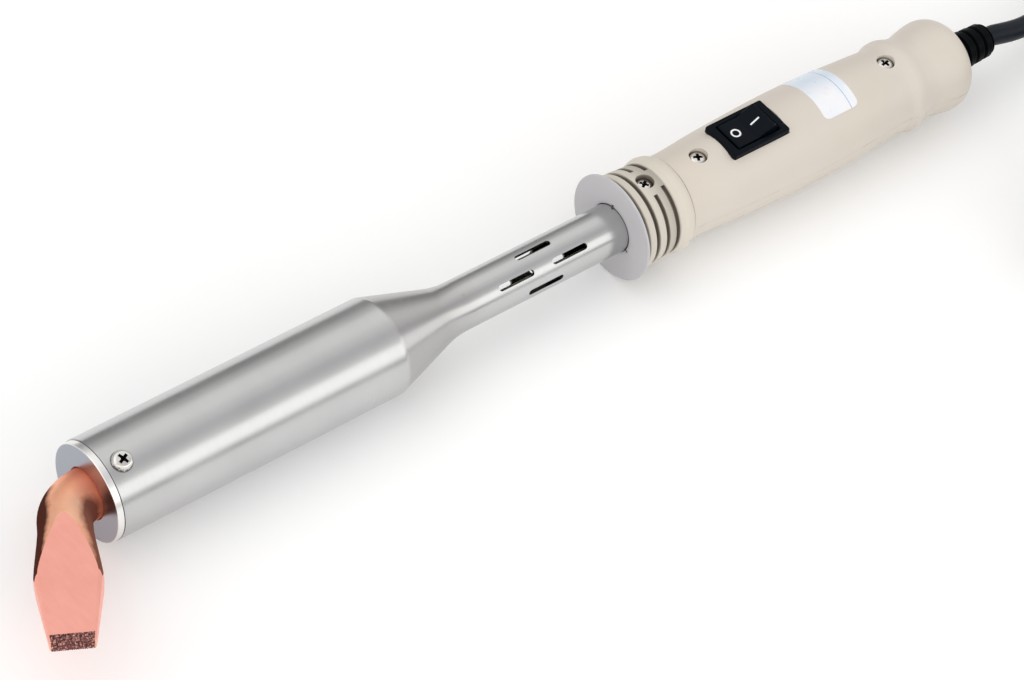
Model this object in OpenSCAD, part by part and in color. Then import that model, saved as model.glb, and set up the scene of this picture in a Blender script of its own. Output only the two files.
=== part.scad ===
// Heavy electric soldering iron with a bent copper bit, a steel barrel and a two-part grip.
// The tool lies along X with its bit towards -X and its switch on top (+Z).
// Sub-parts are drawn about the tool's own axis, with x = 0 at the front face of the nose cap,
// and place() sets them down so that the origin is under the middle of the tool.

/* [Bit] */
// Diameter of the round copper bit
bit_d = 15; // [12:0.5:18]
// Length of shank inside the heater
bit_shank = 72; // [50:1:78]
// Straight length between the nose cap and the bend
bit_neck = 0.5; // [0.5:0.5:15]
// Radius of the bend at the middle of the bar
bend_r = 8.5; // [8:0.5:25]
// Angle of the bend
bend_angle = 56; // [30:1:80]
// Roll of the bend's plane above the horizontal
bend_roll = 12.6; // [-30:0.1:30]
// Length of the leg from the bend to the working end
leg_len = 52; // [46:0.5:70]
// Length of the forged and filed part of the leg
blade_len = 44; // [30:0.5:46]
// Widest part of the blade
blade_w = 18.4; // [16:0.2:22]
// Distance of the widest part from the working end
shoulder_len = 25; // [15:0.5:28]
// Width of the working end
tip_w = 12; // [8:0.5:14]
// Thickness of the working end
tip_t = 3; // [2:0.5:5]

/* [Barrel] */
// Outer diameter of the barrel
barrel_d = 30; // [28:0.5:36]
// Wall of the steel barrel and neck
barrel_wall = 1; // [0.8:0.1:1.5]
// Where the barrel's taper starts
taper_x = 97.8; // [95:0.2:110]
// Slope of the taper
taper_angle = 17; // [12:1:25]
// Radius that blends the taper into the neck
blend_r = 28; // [10:1:40]
// Outer diameter of the neck tube
neck_d = 15.1; // [14:0.1:16]
// Length of a cooling slot
slot_len = 12.7; // [10:0.1:16]
// Width of a cooling slot
slot_w = 1.9; // [1.6:0.1:2.6]
// Middle of the cooling slots along the tool
slot_x = 153.4; // [150:0.2:158]
// Shift of the two slots on the middle line of a group
slot_shift = 9.8; // [8:0.2:12]
// Angle of the first group's middle line from the top, towards -Y
slot_angle = 42; // [0:1:60]
// Angle from the first group of slots to the second
slot_group = 165; // [150:1:180]
// Angle between the lines of a group
slot_line = 45; // [40:1:50]

/* [Nose cap] */
// Thickness of the cap's flange
cap_t = 2.2; // [1.5:0.1:3]
// How much smaller than the barrel the flange is
cap_step = 0.25; // [0:0.05:1]
// Length of the cap's spigot inside the barrel
spigot_len = 9.8; // [8:0.2:14]
// Depth of the seat for the heater tube in the spigot
tube_seat = 3; // [2:0.5:4]
// Place of the clamp screws along the tool
clamp_x = 6.9; // [6:0.1:7.5]
// Angle of the first clamp screw from the top, towards -Y
clamp_angle = 19; // [0:1:45]
// Number of clamp screws
clamp_count = 2; // [2:1:4]

/* [Heater] */
// Wall of the tube that holds the bit
heater_wall = 1.25; // [1:0.05:1.5]
// Length of the heater winding
winding_len = 62; // [40:1:66]
// Thickness of the heater winding
winding_t = 1.1; // [0.8:0.1:1.4]
// Thickness of each mica layer
mica_t = 0.5; // [0.3:0.1:0.7]
// Thickness of the ceramic disc behind the heater
disc_t = 6; // [4:0.5:8]
// Spacing of the two heater leads
lead_gap = 6.4; // [5.6:0.2:6.8]
// Diameter of a heater lead
lead_d = 1.6; // [1:0.1:1.8]
// Diameter of the ceramic beads on the leads
bead_d = 3.8; // [3:0.1:4.2]
// Length of a bead
bead_len = 9; // [6:0.5:12]
// Number of beads on each lead
bead_count = 11; // [6:1:11]

/* [Heat collar] */
// Front face of the collar's flange
collar_x = 183.7; // [180:0.1:188]
// Diameter of the flange
flange_d = 33.2; // [32:0.2:40]
// Thickness of the flange
flange_t = 0.9; // [0.8:0.1:1.3]
// Length of the whole collar
collar_len = 20.6; // [20:0.1:24]
// Outer diameter of the first fin
fin_d = 30; // [28:0.2:32]
// Drop of the fins' diameter from the first to the last
fin_drop = 2; // [0:0.2:3]
// Diameter at the bottom of the grooves
groove_d = 25; // [22:0.2:26]
// Width of a groove
groove_w = 1.5; // [1:0.1:2]
// Pitch of the grooves
groove_pitch = 3.9; // [3:0.1:4]
// Number of grooves
groove_count = 4; // [2:1:4]
// Diameter of the collar's rear ring
rear_ring_d = 30.2; // [28:0.2:31]
// Diameter of the hole in the flange
mouth_d = 15.5; // [15.4:0.1:18]

/* [Grip] */
// Diameter where the grip meets the collar
grip_front_d = 27.2; // [27:0.2:30]
// Diameter of the grip at its fullest
belly_d = 30.4; // [30:0.2:34]
// Diameter just in front of the ridge
ridge_foot_d = 27.4; // [27:0.2:29]
// Diameter of the ridge
ridge_d = 29.5; // [28:0.1:31]
// Diameter of the waist behind the ridge
waist_d = 26.4; // [26.2:0.1:28.6]
// Diameter of the end bulb
bulb_d = 29.3; // [29:0.1:33]
// Length of the grip
grip_len = 115.2; // [114:0.2:120]
// Wall of the grip's shells
grip_wall = 2; // [1.6:0.1:2.4]
// Diameter of the hole for the strain relief
relief_hole_d = 12.6; // [12:0.2:14]

/* [Switch] */
// Length of the switch's bezel
bezel_len = 21.6; // [20.4:0.1:22]
// Width of the switch's bezel
bezel_w = 14; // [13.8:0.1:15.4]
// Thickness of the bezel
bezel_t = 2; // [1.5:0.1:2.5]
// Length of the switch's body below the bezel
switch_body_len = 19; // [18.6:0.1:19.4]
// Width of the switch's body below the bezel
switch_body_w = 12.8; // [12.6:0.1:13.2]
// Depth of the switch's body below its bezel
switch_depth = 12; // [10:0.5:13]
// Middle of the switch along the tool
switch_x = 233.4; // [233:0.2:236]
// Length of the opening for the rocker
rocker_hole_len = 16.4; // [16:0.1:17.2]
// Width of the opening for the rocker
rocker_hole_w = 10.6; // [10:0.1:10.8]
// Angle that the rocker turns through
rocker_travel = 30; // [20:1:32]
// Width of a terminal blade
terminal_w = 4.8; // [4:0.1:5]
// Thickness of a terminal blade
terminal_t = 0.8; // [0.5:0.1:0.8]

/* [Screws] */
// Diameter of a screw's head
head_d = 5.8; // [5:0.1:6.4]
// Height of a screw's head
head_h = 2; // [1.6:0.1:2.4]
// Diameter of a screw's thread
thread_d = 3; // [2.5:0.1:3]
// Length of a housing screw below its head
housing_screw_len = 21; // [18:0.5:21.4]
// Length of the collar screw below its head
collar_screw_len = 7; // [5:0.5:8]
// Place of the collar screw along the tool
collar_screw_x = 193.8; // [193:0.1:195]
// Place of the front housing screw along the tool
front_screw_x = 214.4; // [214:0.1:215]
// Distance of the rear housing screw from the grip's end
rear_screw_back = 30.4; // [30:0.1:32]
// Height of the screw heads' seats above the axis
head_seat_z = 11.3; // [10.8:0.1:12.2]

/* [Cord] */
// Diameter of the supply cord
cord_d = 6.5; // [6:0.1:7]
// Length of the strain relief outside the grip
relief_out = 15.1; // [12:0.1:30]
// Diameter of the strain relief at the grip
relief_d = 12; // [11:0.1:12.2]
// Diameter of the strain relief at the cord
relief_tip_d = 11; // [8:0.1:12]
// Turns in each layer of the coil
coil_turns = 2.75; // [2.75:0.5:3.75]
// Radius of the coil at the middle of its turns
coil_r = 36.5; // [34:0.5:39]
// Spacing of the coil's turns and layers
coil_pitch = 7.2; // [7.1:0.1:8]
// Thickness of the tie that holds the coil
tie_t = 0.5; // [0.5:0.1:1]
// Width of the tie
tie_w = 8; // [8:1:16]

/* [Plug] */
// Diameter of the plug's front
plug_d = 37; // [36:0.5:39]
// Length of the plug's round front
plug_front_len = 17; // [15:0.5:20]
// Length of the plug's body
plug_len = 38; // [34:1:44]
// Length of the plug's own strain relief
plug_boot_len = 22; // [20:1:30]
// Diameter of a contact pin
pin_d = 4.8; // [4.8:0.1:5]
// Length of a contact pin outside the plug
pin_len = 19; // [18:0.5:19]
// Spacing of the contact pins
pin_gap = 19; // [18:0.5:20]

/* [Hidden] */
$fn = 64;

// Clearances
run_gap = 0.05;
seat_gap = 0.05;
fit_gap = 0.1;
tiny = 0.01;

// Radii that follow from the diameters
bit_r = bit_d / 2;
barrel_r = barrel_d / 2;
barrel_in_r = barrel_r - barrel_wall;
neck_r = neck_d / 2;
neck_in_r = neck_r - barrel_wall;
flange_r = flange_d / 2;
cord_r = cord_d / 2;
thread_r = thread_d / 2;
bit_hole_r = bit_r + run_gap;
tube_r = bit_hole_r + heater_wall;
cap_r = barrel_r - cap_step;

// Places along the tool
cap_end = cap_t + spigot_len;
tube_start = cap_end - tube_seat;
heater_start = cap_end + 2;
heater_end = heater_start + winding_len;
jacket_end = heater_end + 4;
blend_run = (barrel_r - neck_r - blend_r * (1 - cos(taper_angle))) / tan(taper_angle);
blend_x = taper_x + blend_run + blend_r * sin(taper_angle);
collar_end = collar_x + collar_len;
grip_start = collar_end;
grip_end = grip_start + grip_len;
rear_screw_x = grip_end - rear_screw_back;
ridge_x = rear_screw_x + 6;
neck_end = front_screw_x + 4.6;
relief_end = grip_end + relief_out;

// The bit's leg: how far its end reaches ahead of the cap and sideways
tip_ahead = bit_neck + bend_r * sin(bend_angle) + leg_len * cos(bend_angle);
tip_aside = bend_r * (1 - cos(bend_angle)) + leg_len * sin(bend_angle);
reach_front = tip_ahead + tip_w / 2 * sin(bend_angle);
reach_side = (tip_aside + tip_w / 2 * cos(bend_angle)) * cos(bend_roll);

// The origin lies under the middle of the tool, on the surface that it lies on
origin_x = floor((relief_end - reach_front) / 2);
origin_y = round((flange_r - reach_side) / 2);

module place() {
    translate([-origin_x, -origin_y, flange_r])
        children();
}

function arc(x, y, r, from, to, steps) = [
    for (i = [0:steps])
        let (a = from + (to - from) * i / steps)
        [x + r * cos(a), y + r * sin(a)]
];

// A solid of revolution about the tool's axis from points [x, radius]
module turned(points) {
    rotate([0, 90, 0])
        rotate_extrude($fn = 96)
            polygon([for (p = points) [p[1], p[0]]]);
}

module ring(from, to, outer, inner) {
    turned([[from, inner], [to, inner], [to, outer], [from, outer]]);
}

module rod(from, to, r, y = 0, z = 0) {
    translate([from, y, z])
        rotate([0, 90, 0])
            cylinder(r = r, h = to - from);
}

// Moves a piece drawn upwards along Z round the tool, by an angle from the top towards -Y
module around(x, angle) {
    translate([x, 0, 0])
        rotate([angle, 0, 0])
            children();
}

// A pan head screw with a cross recess, with the underside of its head at z = 0
module pan_screw(length) {
    slot_w = 0.7;
    slot_l = head_d * 0.56;
    slot_deep = 1.2;
    difference() {
        union() {
            rotate_extrude()
                polygon(concat(
                    [[0, 0], [head_d / 2 - 0.2, 0], [head_d / 2, 0.3], [head_d / 2, head_h - 1.2]],
                    [for (a = [15:15:90]) [head_d / 2 - 1.2 + 1.2 * cos(a), head_h - 1.2 + 1.2 * sin(a)]],
                    [[0, head_h]]
                ));
            translate([0, 0, -length])
                cylinder(r = thread_r, h = length + tiny);
        }
        for (a = [0, 90])
            rotate([0, 0, a])
                translate([-slot_l / 2, -slot_w / 2, head_h - slot_deep])
                    cube([slot_l, slot_w, slot_deep + 1]);
    }
}

// Sweeps a round section along points, with a ring at each point
function unit(v) = v / norm(v);
function heading(p, i) =
    i == 0 ? unit(p[1] - p[0]) :
    i == len(p) - 1 ? unit(p[i] - p[i - 1]) :
    unit(unit(p[i] - p[i - 1]) + unit(p[i + 1] - p[i]));
function across(h) = unit(cross(h, [0, 0, 1]));
function section(p, i, r, sides, turn) =
    let (h = heading(p, i), u = across(h), v = cross(u, h))
    [
        for (k = [0:sides - 1])
            let (a = turn + 360 * k / sides)
            p[i] + r * (u * cos(a) + v * sin(a))
    ];

module swept(p, r, sides, turn = 90) {
    n = len(p);
    points = [for (i = [0:n - 1]) for (q = section(p, i, r, sides, turn)) q];
    walls = [
        for (i = [0:n - 2], k = [0:sides - 1])
            let (a = i * sides + k, b = i * sides + (k + 1) % sides)
            for (f = [[a, b, a + sides], [b, b + sides, a + sides]]) f
    ];
    first = [for (k = [2:sides - 1]) [0, k, k - 1]];
    last = [for (k = [2:sides - 1]) [(n - 1) * sides, (n - 1) * sides + k - 1, (n - 1) * sides + k]];
    polyhedron(points = points, faces = concat(first, walls, last), convexity = 10);
}

// Rounds the corners of a route with arcs, so that a few points chosen by hand make a smooth tube
function rounded_corner(a, b, c, r, steps) =
    let (
        d1 = unit(a - b),
        d2 = unit(c - b),
        half = acos(d1 * d2) / 2,
        cut = r / tan(half),
        m = unit(d1 + d2),
        centre = b + m * r / sin(half),
        u = unit(b + d1 * cut - centre),
        w = unit(b + d2 * cut - centre),
        turn = acos(u * w),
        v = unit(w - u * (u * w))
    )
    [for (i = [0:steps]) centre + r * (u * cos(turn * i / steps) + v * sin(turn * i / steps))];
function rounded_route(p, r, steps) = concat(
    [p[0]],
    [for (i = [1:len(p) - 2]) for (q = rounded_corner(p[i - 1], p[i], p[i + 1], r, steps)) q],
    [p[len(p) - 1]]
);

// Bit: its straight, bent and forged stretches lap into each other a little
joint_lap = 0.3;
joint_step = 0.1;

module blade_outline() {
    // Seen from above, along the leg: the end of the bar, the shoulders and the working end
    polygon([
        [-blade_len, -blade_w / 2], [-blade_len, blade_w / 2],
        [-shoulder_len, blade_w / 2], [0, tip_w / 2],
        [0, -tip_w / 2], [-shoulder_len, -blade_w / 2]
    ]);
}

module blade() {
    // The bar spreads sideways as it is forged thinner towards the working end
    spread = blade_w / bit_d;
    intersection() {
        hull() {
            translate([-blade_len, 0, 0])
                rotate([0, 90, 0])
                    cylinder(d = bit_d - joint_step, h = tiny, $fn = 48);
            translate([-shoulder_len - 1, 0, 0])
                rotate([0, 90, 0])
                    scale([0.8, spread, 1])
                        cylinder(d = bit_d, h = shoulder_len + 1, $fn = 48);
        }
        // Top and bottom are filed flat, down to the thickness of the working end
        rotate([90, 0, 0])
            linear_extrude(height = blade_w + 2, center = true)
                polygon([
                    [-blade_len, -bit_r], [-blade_len, bit_r], [0, tip_t / 2], [0, -tip_t / 2]
                ]);
        linear_extrude(height = bit_d + 2, center = true)
            blade_outline();
    }
}

module bit() {
    color("#c87858")
        place()
            rotate([-bend_roll, 0, 0]) {
                rod(-bit_neck - joint_lap, cap_t + bit_shank, bit_r);
                translate([-bit_neck, -bend_r, 0])
                    rotate([0, 0, 90])
                        rotate_extrude(angle = bend_angle, $fn = 96)
                            translate([bend_r, 0])
                                circle(d = bit_d - joint_step, $fn = 48);
                translate([-bit_neck, -bend_r, 0])
                    rotate([0, 0, bend_angle])
                        translate([0, bend_r, 0]) {
                            rod(-(leg_len - blade_len) - joint_lap, joint_lap, bit_r);
                            translate([-leg_len, 0, 0])
                                mirror([1, 0, 0])
                                    blade();
                        }
            }
}

// Nose cap and clamp screws
module nose_cap() {
    color("#c9cacc")
        place()
            difference() {
                turned([
                    [0, bit_hole_r], [0, cap_r - 0.3], [0.3, cap_r], [cap_t, cap_r],
                    [cap_t, barrel_in_r - seat_gap], [cap_end, barrel_in_r - seat_gap],
                    [cap_end, tube_r + seat_gap], [tube_start, tube_r + seat_gap], [tube_start, bit_hole_r]
                ]);
                for (i = [0:clamp_count - 1])
                    around(clamp_x, clamp_angle + i * 360 / clamp_count)
                        cylinder(r = thread_r + seat_gap, h = barrel_r);
            }
}

module clamp_screws() {
    color("#d4d4d4")
        place()
            for (i = [0:clamp_count - 1])
                around(clamp_x, clamp_angle + i * 360 / clamp_count)
                    translate([0, 0, barrel_r])
                        pan_screw(barrel_r - bit_r - fit_gap);
}

// Barrel with its taper and neck, spun from one tube
module slot_cut(x) {
    r = slot_w / 2;
    run = slot_len / 2 - r;
    translate([x - run, -r, neck_in_r / 2])
        cube([2 * run, 2 * r, neck_d]);
    for (s = [-1, 1])
        translate([x + s * run, 0, neck_in_r / 2])
            cylinder(r = r, h = neck_d);
}

module barrel() {
    corner_r = 3;
    corner_cut = corner_r * tan(taper_angle / 2);
    outer = concat(
        [[cap_t, barrel_r]],
        arc(taper_x - corner_cut, barrel_r - corner_r, corner_r, 90, 90 - taper_angle, 3),
        arc(blend_x, neck_r + blend_r, blend_r, 270 - taper_angle, 270, 8),
        [[neck_end, neck_r]]
    );
    inner = concat(
        [[neck_end, neck_in_r]],
        arc(blend_x, neck_r + blend_r, blend_r + barrel_wall, 270, 270 - taper_angle, 8),
        [[taper_x - barrel_wall * tan(taper_angle / 2), barrel_in_r], [cap_t, barrel_in_r]]
    );
    color("#bfc0c2")
        place()
            difference() {
                turned(concat(outer, inner));
                for (g = [0, 1], i = [-1:1])
                    rotate([slot_angle + g * slot_group + i * slot_line, 0, 0])
                        if (i == 0)
                            for (s = [-1, 1])
                                slot_cut(slot_x + s * slot_shift);
                        else
                            slot_cut(slot_x);
                for (i = [0:clamp_count - 1])
                    around(clamp_x, clamp_angle + i * 360 / clamp_count)
                        cylinder(r = thread_r + fit_gap, h = barrel_d);
                translate([collar_screw_x, 0, 0])
                    cylinder(r = thread_r + seat_gap, h = barrel_d);
                translate([front_screw_x, 0, -barrel_r])
                    cylinder(r = thread_r + fit_gap, h = barrel_d);
            }
}

// Heater
inner_mica_r = tube_r + seat_gap + mica_t;
winding_r = inner_mica_r + seat_gap + winding_t;
outer_mica_r = winding_r + seat_gap + mica_t;

module heater_tube() {
    color("#9a9a98")
        place()
            ring(tube_start, heater_end, tube_r, bit_hole_r);
}

module inner_mica() {
    color("#d9c79a")
        place()
            ring(heater_start, heater_end, inner_mica_r, tube_r + seat_gap);
}

module heater_winding() {
    color("#7d7266")
        place()
            ring(heater_start + 1, heater_end - 1, winding_r, inner_mica_r + seat_gap);
}

module outer_mica() {
    color("#d9c79a")
        place()
            ring(heater_start, heater_end, outer_mica_r, winding_r + seat_gap);
}

module heat_jacket() {
    color("#e8e4dc")
        place()
            ring(cap_end + seat_gap, jacket_end, barrel_in_r - seat_gap, outer_mica_r + seat_gap);
}

module ceramic_disc() {
    color("#f1ece2")
        place()
            difference() {
                ring(jacket_end, jacket_end + disc_t, barrel_in_r - seat_gap, tiny);
                for (s = [-1, 1])
                    translate([0, s * lead_y, lead_z])
                        rod(jacket_end - 1, jacket_end + disc_t + 1, lead_d / 2 + seat_gap);
            }
}

module heater_leads() {
    color("#b8b4ac")
        place()
            for (s = [-1, 1])
                rod(jacket_end - 2, core_start - 0.1, lead_d / 2, y = s * lead_y, z = lead_z);
}

module lead_beads() {
    bead_start = jacket_end + disc_t + 0.3;
    color("#efe9dc")
        place()
            for (s = [-1, 1], i = [0:bead_count - 1])
                translate([0, s * lead_y, lead_z])
                    ring(
                        bead_start + i * (bead_len + 0.4),
                        bead_start + i * (bead_len + 0.4) + bead_len,
                        bead_d / 2,
                        lead_d / 2 + seat_gap
                    );
}

// Heat collar between the neck and the grip
groove_start = collar_x + 1.3;
boss_half = 3.9;

module collar_groove(i) {
    // The first groove lies against the flange, and the rear ones stop short of the screw boss
    x = groove_start + i * groove_pitch;
    difference() {
        ring(i == 0 ? collar_x + flange_t : x, x + groove_w, flange_d, groove_d / 2);
        if (i >= 2)
            translate([x - 1, -boss_half - (3 - i) * 1.6, 0])
                cube([groove_w + 2, 2 * (boss_half + (3 - i) * 1.6), flange_d]);
    }
}

module heat_collar() {
    fin_r = fin_d / 2;
    last_fin_x = groove_start + groove_count * groove_pitch - groove_pitch + groove_w;
    ring_r = rear_ring_d / 2;
    color("#cfc9c0")
        place()
            difference() {
                turned([
                    [collar_x + 0.3, mouth_d / 2], [collar_x + 0.15, mouth_d / 2 + 4.2],
                    [collar_x, flange_r - 0.5], [collar_x + 0.15, flange_r - 0.15],
                    [collar_x + 0.4, flange_r], [collar_x + flange_t - 0.3, flange_r],
                    [collar_x + flange_t - 0.1, flange_r - 0.1],
                    [collar_x + flange_t, flange_r - 0.4],
                    [collar_x + flange_t, fin_r], [last_fin_x, fin_r - fin_drop / 2],
                    [last_fin_x + 1.2, ring_r - 0.35], [last_fin_x + 2.4, ring_r],
                    [collar_end - 1.4, ring_r - 0.3], [collar_end, grip_front_d / 2],
                    [collar_end, neck_r + run_gap], [collar_x + 5, neck_r + run_gap],
                    [collar_x + 5, mouth_d / 2]
                ]);
                for (i = [0:groove_count - 1])
                    collar_groove(i);
                translate([collar_screw_x, 0, head_seat_z]) {
                    cylinder(r = head_d / 2 + 0.35, h = barrel_r);
                    translate([0, 0, -head_seat_z])
                        cylinder(r = thread_r + fit_gap, h = barrel_r);
                }
            }
}

module collar_screw() {
    color("#d4d4d4")
        place()
            translate([collar_screw_x, 0, head_seat_z])
                pan_screw(collar_screw_len);
}

// Grip: stations along its length, joined by a smooth curve
stations = [
    [grip_start - 10, grip_front_d / 2 + 0.8],
    [grip_start, grip_front_d / 2],
    [grip_start + 6, grip_front_d / 2 - 0.1],
    [grip_start + 18, grip_front_d / 2 + 0.7],
    [grip_start + 38, belly_d / 2 - 0.15],
    [grip_start + 50, belly_d / 2],
    [grip_start + 65, belly_d / 2 - 0.45],
    [ridge_x - 12, ridge_foot_d / 2 + 0.3],
    [ridge_x - 6, ridge_foot_d / 2 - 0.1],
    [ridge_x - 3.4, ridge_foot_d / 2],
    [ridge_x - 1.2, ridge_d / 2 - 0.15],
    [ridge_x + 1, ridge_d / 2 - 0.25],
    [ridge_x + 4, waist_d / 2 + 0.35],
    [ridge_x + 7.4, waist_d / 2],
    [ridge_x + 11, waist_d / 2 + 0.7],
    [grip_end - 8, bulb_d / 2],
    [grip_end - 5, bulb_d / 2 - 0.6],
    [grip_end - 2.4, bulb_d / 2 - 2.4],
    [grip_end - 0.7, bulb_d / 2 - 5.2]
];
station_steps = 4;
function slope(i) =
    (stations[i + 1][1] - stations[i - 1][1]) / (stations[i + 1][0] - stations[i - 1][0]);
function between(i, t) =
    let (
        a = stations[i],
        b = stations[i + 1],
        w = b[0] - a[0],
        m0 = i == 0 ? 0 : slope(i),
        m1 = i == len(stations) - 2 ? (b[1] - a[1]) / w : slope(i + 1),
        h1 = 2 * t * t * t - 3 * t * t + 1,
        h2 = t * t * t - 2 * t * t + t,
        h3 = -2 * t * t * t + 3 * t * t,
        h4 = t * t * t - t * t
    )
    [a[0] + w * t, h1 * a[1] + h2 * w * m0 + h3 * b[1] + h4 * w * m1];
grip_curve = concat(
    [for (i = [1:len(stations) - 2], k = [0:station_steps - 1]) between(i, k / station_steps)],
    [stations[len(stations) - 1]]
);
end_face_r = relief_hole_d / 2 + 0.6;

module grip_solid(extra = 0) {
    turned(concat(
        [[grip_start, 0]],
        [for (p = grip_curve) [p[0], p[1] + extra]],
        [[grip_end, end_face_r + extra], [grip_end, 0]]
    ));
}

// Hollows that run along the axis: the neck's seat, the wiring space, the clamp's space
wiring_start = neck_end + 2;
wiring_end = rear_screw_x - 6;
tail_start = rear_screw_x + 5;
tail_end = grip_end - 13;
tail_r = waist_d / 2 - grip_wall;
flange_x = grip_end - 11;
flange_room_r = relief_hole_d / 2 + 2;
passage_r = 6.8;

// Cord clamp: a bar that two small screws draw down on the cord
clamp_bar_x = tail_start + 8.4;
clamp_bar_w = 18.6;
clamp_bar_t = 3.6;
clamp_screw_y = 7;
clamp_thread_r = 1.1;
clamp_head_r = 2;
clamp_screw_len = 9;
post_z = 0.8;

module grip_hollow() {
    inside = [
        for (p = grip_curve)
            if (p[0] > wiring_start && p[0] < wiring_end) [p[0], p[1] - grip_wall]
    ];
    turned(concat(
        [[wiring_start, 0], [wiring_start, inside[0][1]]],
        inside,
        [[wiring_end, inside[len(inside) - 1][1]], [wiring_end, 0]]
    ));
    rod(wiring_end - 1, tail_start + 1, passage_r);
    rod(tail_start, tail_end, tail_r);
    rod(tail_end - 1, flange_x + 1, cord_r + 0.8);
    rod(flange_x, flange_x + 4 + seat_gap, flange_room_r);
    rod(flange_x + 3, grip_end + 1, relief_hole_d / 2);
    rod(grip_start - 1, neck_end + seat_gap, neck_r + run_gap);
    rod(neck_end - 1, wiring_start + 1, neck_in_r);
}

seat_z = 13.1;

module grip_half(side) {
    intersection() {
        difference() {
            grip_solid();
            grip_hollow();
        }
        translate([grip_start - 1, -barrel_d, side > 0 ? 0 : -barrel_d])
            cube([grip_len + 2, 2 * barrel_d, barrel_d]);
    }
}

module grip_upper() {
    color("#d9d2c6")
        place()
            difference() {
                grip_half(1);
                // Seat and cut-out for the switch
                translate([switch_x - bezel_len / 2 - fit_gap, -bezel_w / 2 - fit_gap, seat_z])
                    cube([bezel_len + 2 * fit_gap, bezel_w + 2 * fit_gap, barrel_r]);
                translate([switch_x - switch_body_len / 2 - fit_gap, -switch_body_w / 2 - fit_gap, 0])
                    cube([switch_body_len + 2 * fit_gap, switch_body_w + 2 * fit_gap, barrel_r]);
                for (x = [front_screw_x, rear_screw_x])
                    translate([x, 0, -1]) {
                        cylinder(r = thread_r + fit_gap, h = barrel_d);
                        translate([0, 0, head_seat_z + 1])
                            cylinder(r = head_d / 2 + 0.35, h = barrel_r);
                    }
            }
}

module clamp_seat() {
    // A saddle for the cord between two posts for the clamp's screws
    intersection() {
        rod(clamp_bar_x - 4.5, clamp_bar_x + 4.5, tail_r + grip_wall / 2);
        translate([clamp_bar_x - 4, -tail_r - grip_wall, -tail_r - grip_wall])
            cube([8, 2 * (tail_r + grip_wall), tail_r + grip_wall + post_z]);
        translate([clamp_bar_x - 5, -clamp_bar_w / 2, -barrel_d])
            cube([10, clamp_bar_w, barrel_d * 2]);
    }
}

module grip_lower() {
    color("#d9d2c6")
        place()
            difference() {
                union() {
                    grip_half(-1);
                    clamp_seat();
                }
                for (x = [front_screw_x, rear_screw_x])
                    translate([x, 0, head_seat_z - housing_screw_len - 0.4])
                        cylinder(r = thread_r + seat_gap, h = barrel_d);
                rod(tail_start, tail_end, cord_r + seat_gap);
                for (s = [-1, 1])
                    translate([clamp_bar_x, s * clamp_screw_y, post_z + clamp_bar_t - clamp_screw_len - 0.4])
                        cylinder(r = clamp_thread_r + seat_gap, h = clamp_screw_len);
            }
}

module housing_screws() {
    color("#d4d4d4")
        place()
            for (x = [front_screw_x, rear_screw_x])
                translate([x, 0, head_seat_z])
                    pan_screw(housing_screw_len);
}

// Rating plate: a blank film wrapped over the top of the grip
label_t = 0.12;
label_x = 264.3;
label_w = 13.6;
label_span = 95;
label_mid_angle = -13;

module label() {
    color("#e9eef2")
        place()
            intersection() {
                difference() {
                    grip_solid(label_t);
                    grip_solid();
                }
                rotate([label_mid_angle, 0, 0])
                    intersection() {
                        translate([label_x - label_w / 2, -barrel_r, 3])
                            cube([label_w, barrel_d, barrel_r + 2]);
                        rotate([0, 90, 0])
                            linear_extrude(height = 2 * grip_end)
                                polygon([
                                    [0, 0], [-barrel_d, -barrel_d * tan(label_span / 2)],
                                    [-barrel_d, barrel_d * tan(label_span / 2)]
                                ]);
                    }
            }
}

// Switch
pivot_z = seat_z + bezel_t - 2.6;
rocker_r = rocker_hole_len / 2 - 0.3;
rocker_top = 2.8;
hub_r = 4;
trunnion_r = 1;

module switch_housing() {
    color("#1b1c1e")
        place()
            translate([switch_x, 0, 0])
                difference() {
                    union() {
                        translate([-bezel_len / 2, -bezel_w / 2, seat_z])
                            cube([bezel_len, bezel_w, bezel_t]);
                        translate([-switch_body_len / 2, -switch_body_w / 2, seat_z - switch_depth])
                            cube([switch_body_len, switch_body_w, switch_depth]);
                    }
                    translate([-rocker_hole_len / 2, -rocker_hole_w / 2, seat_z - switch_depth + 1.5])
                        cube([rocker_hole_len, rocker_hole_w, switch_depth + bezel_t]);
                    translate([0, 0, pivot_z])
                        rotate([90, 0, 0])
                            cylinder(r = trunnion_r + run_gap, h = rocker_hole_w + 1.2, center = true);
                    for (x = terminal_x)
                        translate([x - terminal_t / 2 - seat_gap, -terminal_w / 2 - seat_gap, 0])
                            cube([
                                terminal_t + 2 * seat_gap, terminal_w + 2 * seat_gap,
                                seat_z - switch_depth + 3
                            ]);
                }
}

// The rocker's two faces meet over the pivot, and the pressed one lies level with the bezel
module rocker_outline() {
    // Drawn with the first face level: x along the tool, y up from the pivot.
    // Both ends are arcs about the pivot, so that they clear the bezel at every angle.
    rise = tan(rocker_travel);
    spread = 1 + rise * rise;
    high_x = (sqrt(rocker_r * rocker_r * spread - rocker_top * rocker_top) - rocker_top * rise) / spread;
    high_angle = acos(high_x / rocker_r);
    low_angle = asin(rocker_top / rocker_r);
    valley = 6;
    valley_x = -valley * tan(rocker_travel / 2);
    polygon(concat(
        arc(0, 0, rocker_r, 180 + rocker_travel, 180 - low_angle + 3, 8),
        [[0.6 - rocker_r * cos(low_angle), rocker_top]],
        arc(valley_x, rocker_top + valley, valley, 270, 270 + rocker_travel, 5),
        [[high_x - 0.7, rocker_top + (high_x - 0.7) * rise]],
        arc(0, 0, rocker_r, high_angle - 3, -rocker_travel, 8),
        arc(0, 0, hub_r, -60, -120, 6)
    ));
}

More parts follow.
